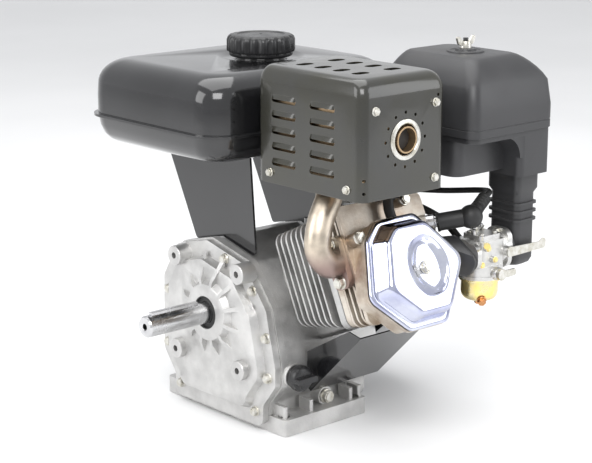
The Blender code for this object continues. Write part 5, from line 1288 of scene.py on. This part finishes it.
def side_cover():
    """The bearing cover: rim, domed face with radial ribs, hub and four mounting pads."""
    outline = rounded(grown(CASE_OUTLINE, 1), 12, 6)
    plate = prism(outline, CASE_X0 - 9, CASE_X0 - GAP, SIDE)
    dome = loft([(rounded(grown(CASE_OUTLINE, -24), 12, 6), CASE_X0 - 20),
                 (rounded(grown(CASE_OUTLINE, -20), 12, 6), CASE_X0 - 18.6),
                 (rounded(grown(CASE_OUTLINE, -16), 12, 6), CASE_X0 - 8)], SIDE)
    hub = turned([(0, PTO_X), (31, PTO_X), (34, PTO_X + 1.2), (44, CASE_X0 - 12), (44, CASE_X0 - GAP),
                  (0, CASE_X0 - GAP)], 72,
                 CRANK)
    made = fuse(plate, dome, hub)
    for k in range(12):
        turn = CRANK @ Matrix.Rotation(math.pi / 12 + math.pi / 6 * k, 4, "Z")
        web = loft([(rectangle(32, -2.2, 40, 2.2), PTO_X + 1), (rectangle(32, -3, 70, 3), CASE_X0 - 12)],
                   turn)
        made = fuse(made, web)
    for y, z in pto_points():
        pad = turned([(0, PTO_X), (11.4, PTO_X), (12, PTO_X + 0.8), (12.6, CASE_X0 - 7), (0, CASE_X0 - 7)],
                     48, shift(CRANK, y, z))
        made = fuse(made, pad)
    pocket = prism(rounded(grown(CASE_OUTLINE, -22), 10, 4), CASE_X0 - 16, CASE_X0 + 1, SIDE)
    made = cut(made, cut(pocket, rod(34, CASE_X0 - 17, CASE_X0 + 2, 48, CRANK)))
    made = cut(made, rod(26.3, CASE_X0 - 18, CASE_X0 + 1, 64, CRANK), rod(20, PTO_X - 1, CASE_X0, 64, CRANK))
    for y, z in pto_points():
        made = cut(made, rod(4, PTO_X - 1, PTO_X + 12, 32, shift(CRANK, y, z)))
    return finish(made, "bearing_cover", CAST, nodes=["side_cover"], edge=1.1, steps=3, limit=28)


def side_cover_bolts():
    spots = [(-93, 70), (-90, 118), (-66, 170), (-16, 199), (60, 193), (92, 140), (94, 72), (70, 24),
             (-70, 24)]
    places = [shift(SIDE, y, z, CASE_X0 - 9) @ Matrix.Rotation(math.pi, 4, "X") for y, z in spots]
    return bolts(places, 10.0, 6.0, "bearing_cover_bolts", ZINC)


# ---------------------------------------------------------------- shaft, seal and small outside pieces


def output_shaft():
    """The crankshaft with its webs, crankpin and timing gear; only its end shows."""
    start = PTO_X - 88.5
    made = turned([(0, start + 1.5), (3, start + 1.5), (4, start + 0.2), (4.4, start), (11.2, start),
                   (12.7, start + 2),
                   (12.7, PTO_X + 9), (17.5, PTO_X + 10), (17.5, CYLINDER_X - 23), (0, CYLINDER_X - 23)], 72,
                   CRANK)
    tail = turned([(0, CYLINDER_X + 23), (17.5, CYLINDER_X + 23), (17.5, CASE_X1 + 5), (13, CASE_X1 + 6.5),
                   (13, CASE_X1 + 30.5), (8, CASE_X1 + 31.5), (8, CASE_X1 + 66), (0, CASE_X1 + 66)], 48,
                   CRANK)
    pin_place = CYLINDER @ Matrix.Rotation(math.pi / 2, 4, "Y")
    pin = rod(18, -13, 13, 48, shift(CYLINDER, 0, 0, 32) @ Matrix.Rotation(math.pi / 2, 4, "Y"))
    counter = [(48 * math.cos(a), 48 * math.sin(a)) for a in (math.pi * (0.62 + 0.76 * k / 30) for k in range(31))]
    nose = [(32 + 19 * math.cos(a), 19 * math.sin(a)) for a in (math.pi * (k / 18 - 0.5) for k in range(19))]
    outline = [(-x, y) for x, y in reversed(nose + counter)]
    webs = [prism(outline, low, low + 12, pin_place) for low in (-24, 12)]
    teeth = []
    for k in range(24):
        radius = 25.4 if k % 2 else 18.6
        teeth += [(radius * math.cos(a), radius * math.sin(a)) for a in (math.pi * (k + d) / 12 + 1.9 for d in (-0.27, 0.27))]
    gear = prism(teeth, -44, -32, CRANK)
    made = fuse(made, tail, *webs, pin, gear)
    keyway = block((-3.2, 9.6, start + 8), (3.2, 20, PTO_X - 12), 0, CRANK)
    made = cut(made, keyway, rod(4, start - 1, start + 24, 32, CRANK))
    return finish(made, "crank", STEEL, "crank_train", ["crankshaft"], edge=0.4)


def shaft_seal():
    made = turned([(13.0, PTO_X + 1.6), (14.6, PTO_X + 0.9), (16, PTO_X + 2.2), (18, PTO_X + 2.4),
                   (18.6, PTO_X + 0.8),
                   (19.6, PTO_X + 0.8), (19.6, PTO_X + 7), (13.0, PTO_X + 7)], 72, CRANK)
    return finish(made, "shaft_seal", RUBBER, nodes=["pto_seal"], smooth=50)


def exhaust_pipe():
    start = EXHAUST_PORT + Vector((-7.5, 0, 0))
    end = Vector((-46, start.y + 14, GUARD_LOW.z + 6.6))
    path = [start, start + Vector((-14, 0, 2)), start + Vector((-25, 3, 20)), start + Vector((-18, 7, 48)),
            end + Vector((0, 0, -16)), end]
    pipe = tube(path, 15, 48, 12)
    flange = block((-30, -13, -48), (30, 13, -40.3), 8, port(EXHAUST_PORT))
    made = fuse(pipe, flange)
    finish(made, "exhaust_elbow", PIPE, nodes=["exhaust_pipe"], edge=0.7, limit=40)
    places = [shift(port(EXHAUST_PORT), side * 22, 0, -48) @ Matrix.Rotation(math.pi, 4,
                                                                             "X") for side in (-1, 1)]
    return bolts(places, 12.0, 8.0, "exhaust_nuts", ZINC)


def plug_cap():
    start = PLUG_SEAT + PLUG_WAY * 12
    boot = turned([(0, 0), (11, 0), (11.4, 2), (10.4, 4), (10.4, (BALL - start).length),
                   (0, (BALL - start).length)], 48,
                  aim(start, BALL))
    profile = [(0, -14)] + [(14 * math.cos(a), 14 * math.sin(a)) for a in (math.pi * (k / 24 - 0.5) for k in range(1, 24))]
    ball = turned(profile + [(0, 14)], 48, aim(BALL, LEAD_START))
    sleeve = (LEAD_START - BALL).length
    steps = [(0, 6), (9, 6), (8.4, 18)]
    for k in range(4):
        foot = 20 + 5 * k
        steps += [(7.2, foot), (8.2, foot + 1), (8.2, foot + 3), (7.0, foot + 4)]
    neck = turned(steps + [(6.6, sleeve - 1), (6, sleeve), (0, sleeve)], 48, aim(BALL, LEAD_START))
    made = cut(fuse(boot, ball, neck), rod(6, -1, 20, 32, aim(start, BALL)))
    return finish(made, "spark_plug_cap", RUBBER, nodes=["plug_cap"], edge=0.3, smooth=45)


def housing_top(y):
    start = math.atan2(math.cos(TILT), math.sin(TILT))
    y0, z0 = 98 * math.cos(start), CRANK_HEIGHT + 98 * math.sin(start)
    y1 = -math.cos(TILT) * 120 + math.sin(TILT) * 72
    z1 = CRANK_HEIGHT + math.sin(TILT) * 120 + math.cos(TILT) * 72
    return z0 + (z1 - z0) * (y0 - y) / (y0 - y1)


def hoses():
    start = LEAD_START + LEAD_WAY * 1.4
    last = Vector((122, -46, housing_top(-46) + 1.3))
    lead = tube([start, start + LEAD_WAY * 10, (178, -184, 272), (164, -138, 266), (140, -90, 264),
                 (125, -58, 262),
                 last + Vector((0, 0, 8)), last], 3.5, 20, 16)
    finish(lead, "spark_lead", RUBBER, nodes=["ignition_lead"])
    z = CARB_Z + 6
    fuel = tube([(104, -28, TANK_LOW.z - 9.5), (104, -32, 288), (112, -70, 268), (130, -112, 254),
                 (BOWL_X - 2, CARB_Y + 62, z + 22), (BOWL_X, CARB_Y + 32, z + 2),
                 (BOWL_X, CARB_Y + 20.4, z)], 4.5, 20, 16)
    finish(fuel, "fuel_pipe", RUBBER, nodes=["fuel_hose"])
    start = on_cylinder(0, COVER_OUTLINE[1][1] + COVER_SHIFT + 1, HEAD_TOP + 13)
    top = CLEANER_LOW.z + 6 - GAP
    up = (on_cylinder(0, 1, 0) - on_cylinder(0, 0, 0)).normalized()
    breather = tube([start, start + up * 14, start + up * 26 + Vector((7, 0, 0)), (62, -176, 290),
                     (90, -166, 290),
                     (116, -151, 289), (129, -144.5, 293), (132, -144, top - 5), (132, -144, top - 0.8)], 6,
                     24, 12)
    return finish(breather, "breather_pipe", RUBBER, nodes=["breather_hose"])


def dipstick():
    place = shift(FRONT, -50, 72)
    face = 111.0
    knob = turned([(0, face + GAP), (13, face + GAP), (13, face + 5), (14.6, face + 5.4), (15.5, face + 7),
                   (15.5, face + 13),
                   (14.6, face + 15.4), (12, face + 17), (0, face + 17)], 64, place)
    stem = rod(8, face - 14, face + 1, 40, place)
    stick = block((-2.5, -1, face - 52), (2.5, 1, face - 13), 0, place)
    tab = block((-15, -3.5, face + 13), (15, 3.5, face + 24), 3, place)
    return finish(fuse(knob, stem, stick, tab), "oil_plug", KNOB, "dipstick", ["oil_dipstick"], edge=0.8,
                  steps=3)


def drain_bolt():
    return bolts([shift(FRONT, 12, 30, 96.3)], 14.0, 9.0, "drain_bolt", ZINC, nodes=["oil_drain_bolt"])


def fan_cover():
    radius = 90
    low = 150.3
    far = 206.0
    made = turned([(radius, low), (radius + 0.0, low + 20), (radius - 1, low + 24), (radius - 8, far - 9),
                   (radius - 11, far - 5),
                   (radius - 16, far - 1.6), (radius - 22, far), (46, far), (44, far - 1.2), (30, far - 1.2),
                   (28, far), (0, far),
                   (0, far - 3), (radius - 24, far - 3), (radius - 14, far - 9), (radius - 2, low + 21),
                   (radius - 2, low)], 96,
                  CRANK)
    mouth = bar(ROPE_EXIT - ROPE_WAY * 16, ROPE_EXIT + ROPE_WAY * 5, 11, 48)
    made = fuse(made, rod(7, far - 22, far - 2, 40, CRANK), mouth)
    slot = prism(rectangle(30, -4.6, 62, 4.6, 4.5, 6), far - 12, far + 4, WORLD)
    slots = grow(slot, WHEEL, GLOSS, Count=10, Start=math.pi / 10)
    made = cut(made, moved(slots, CRANK))
    made = cut(made, bar(ROPE_EXIT - ROPE_WAY * 30, ROPE_EXIT + ROPE_WAY * 8, 4, 24))
    finish(made, "starter_cover", GLOSS, nodes=["recoil_housing"], edge=0.5, limit=35, smooth=40)
    lugs = []
    for k in range(3):
        turn = CRANK @ Matrix.Rotation(math.radians(70 + 120 * k), 4, "Z")
        lugs.append(shift(turn, 91.5, 0, low + 4))
    feet = [block((-6, -8, -4), (5, 8, 0), 3, place) for place in lugs]
    finish(gather(feet), "starter_cover_lugs", GLOSS, edge=0.5)
    return bolts(lugs, 10.0, 6.0, "starter_cover_screws", ZINC)


ROPE_WAY = Vector((0, math.cos(math.radians(15)), math.sin(math.radians(15))))
ROPE_UP = Vector((0, -math.sin(math.radians(15)), math.cos(math.radians(15))))
ROPE_EXIT = Vector((180, 0, CRANK_HEIGHT)) + ROPE_UP * 46 + ROPE_WAY * 84


def starter_grip():
    centre = ROPE_EXIT + ROPE_WAY * 17
    turn = Matrix(((0, 1, 0, 0), (ROPE_UP.y, 0, ROPE_WAY.y, 0), (ROPE_UP.z, 0, ROPE_WAY.z, 0), (0, 0, 0, 1)))
    steps = [(-36, -7, 6, -7), (-40, -10, 9, -5.8), (-45, -12.4, 11, -2), (-46, -13, 11, 1),
             (-45, -12.6, 11, 5),
             (-43, -11.6, 10, 8), (-39, -9, 8, 10.8), (-36, -7, 6, 12)]
    handle = loft([(rectangle(x, y, -x, -y, corner, 7), z) for x, y, corner, z in steps],
                  Matrix.Translation(centre) @ turn)
    neck = bar(ROPE_EXIT + ROPE_WAY * 5.4, centre, 7, 40)
    return finish(fuse(handle, neck), "pull_grip", KNOB, "grip", ["starter_grip"], edge=0.6, smooth=45)


def starter_rope():
    """The short rope between the housing mouth and the grip, built straight at its rest length."""
    start, end = (ROPE_EXIT - ROPE_WAY * 12), (ROPE_EXIT + ROPE_WAY * 10)
    rope = tube([start.lerp(end, k / 8) for k in range(9)], 2.6, 24, 12)
    rope.name = "starter_rope"
    rope.data.name = "starter_rope"
    rope.data.transform(Matrix.Scale(MM, 4))
    rope.data.materials.append(ROPE)
    for face in rope.data.polygons:
        face.use_smooth = True
    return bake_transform(rope)


def lower_shroud():
    outline = [(-196, 132), (-112, 48), (-106, 52), (-106, 96), (-176, 136)]
    outer = prism(outline, -26, 84, SIDE)
    pocket = prism([(-198, 137), (-110, 51.5), (-100, 54), (-100, 160), (-190, 160)], -24, 200, SIDE)
    return finish(cut(outer, pocket), "cowl", GLOSS, nodes=["lower_shroud"], edge=0.5, steps=3)


def valve_springs():
    for side, name in ((1, "intake_spring"), (-1, "exhaust_spring")):
        points = bpy.data.meshes.new("points")
        coil = grow(new_object("coil", points), SPRING, STEEL, Turns=5.5, Radius=10.4, Length=16.4, Wire=1.4)
        moved(coil, shift(CYLINDER, side * VALVE_OFFSET, 0, HEAD_TOP + 8.9))
        finish(coil, name + "_coil", STEEL, nodes=[name], smooth=60)


def bearings():
    """Ball races: inner and outer ring with a groove, and a ring of balls between them."""
    for name, start in (("pto_bearing", CASE_X0 - 17.5), ("fan_bearing", CASE_X1 - 20.5)):
        races = gather([turned([(17.8, start), (20.6, start), (20.6, start + 5), (19.4, start + 8),
                                (20.6, start + 11),
                                (20.6, start + 16), (17.8, start + 16)], 64, CRANK),
                        turned([(23.4, start), (26, start), (26, start + 16), (23.4, start + 16),
                                (23.4, start + 11),
                                (24.4, start + 8), (23.4, start + 5)], 64, CRANK)])
        half = [(2.4 * math.cos(a), 2.4 * math.sin(a)) for a in (math.pi * (k / 10 - 0.5) for k in range(1, 10))]
        one = turned([(0, -2.4)] + half + [(0, 2.4)], 16, Matrix.Translation((22, 0, start + 8)))
        balls = moved(grow(one, WHEEL, STEEL, Count=20, Start=0.0), CRANK)
        finish(gather([races, balls]), name + "_races", STEEL, nodes=[name], smooth=40)


valve_springs()
bearings()
output_shaft()
valve_cover()
cover_bolt()
cover_gasket()
muffler_guard()
louvre_hoods()
outlet_ring()
guard_screws()
muffler()
silencer_mouth()
fuel_tank()
tank_cap()
cleaner_cover()
cleaner_base()
wing_nut()
intake_elbow()
carburettor()
carburettor_screws()
throttle_linkage()
float_bowl()
cylinder_block()
cylinder_fins()
head()
head_bolts()
side_cover()
side_cover_bolts()
shaft_seal()
exhaust_pipe()
plug_cap()
hoses()
dipstick()
drain_bolt()
fan_cover()
starter_grip()
starter_rope()
lower_shroud()

for skin, names in {
    STEEL: ["shaft_key"],
    GLOSS: ["fan_housing"],
    ZINC: ["control_bracket", "throttle_lever", "choke_lever", "fuel_cock_lever", "governor_arm"],
    PLASTIC: ["insulator_block"],
    RED: ["stop_switch"],
}.items():
    for name in names:
        softened(name, skin)


# ---------------------------------------------------------------- floor, light and view

FLOOR = surface("Pale floor", (0.82, 0.82, 0.82), 0.55, scale=60, relief=0.02, cloud=0.02, clouds=1.5,
                dust=0.0)


def floor():
    bm = bmesh.new()
    bmesh.ops.create_grid(bm, x_segments=24, y_segments=24, size=6)
    made = from_bmesh(bm, Matrix.Translation((0, 0, -0.0005)))
    made.name = "floor"
    made.data.materials.append(FLOOR)


def soft_light(name, place, target, size, power, colour=(1, 1, 1)):
    lamp = bpy.data.lights.new(name, "AREA")
    lamp.shape = "RECTANGLE"
    lamp.size, lamp.size_y = size
    lamp.energy = power
    lamp.color = colour
    made = bpy.data.objects.new(name, lamp)
    bpy.context.scene.collection.objects.link(made)
    made.location = place
    made.rotation_euler = (Vector(target) - Vector(place)).to_track_quat("-Z", "Y").to_euler()


floor()
soft_light("key", (-1.3, -1.5, 1.9), (0, -0.05, 0.22), (1.3, 1.3), 36)
soft_light("fill", (1.5, -1.9, 1.1), (0, -0.05, 0.22), (1.2, 1.8), 16, (0.97, 0.98, 1.0))
soft_light("side", (-2.0, 0.7, 1.2), (0, -0.05, 0.22), (1.2, 1.6), 20)
soft_light("top", (0.1, 0.3, 2.2), (0, -0.05, 0.2), (2.0, 2.0), 30)

world = bpy.data.worlds.new("Studio")
world.use_nodes = True
world.node_tree.nodes["Background"].inputs["Color"].default_value = (0.93, 0.94, 0.96, 1)
world.node_tree.nodes["Background"].inputs["Strength"].default_value = 0.85
bpy.context.scene.world = world

lens = bpy.data.cameras.new("view")
camera = bpy.data.objects.new("view", lens)
bpy.context.scene.collection.objects.link(camera)
lens.lens = 104
lens.sensor_width = 36
azimuth, elevation, distance = math.radians(318.34), math.radians(14), 2.06
aim_at = Vector((0.024, -0.03, 0.218))
away = Vector((math.cos(elevation) * math.sin(azimuth), -math.cos(elevation) * math.cos(azimuth),
               math.sin(elevation)))
camera.location = aim_at + away * distance
camera.rotation_euler = (-away).to_track_quat("-Z", "Y").to_euler()
bpy.context.scene.camera = camera
bpy.context.scene.view_settings.view_transform = "Standard"
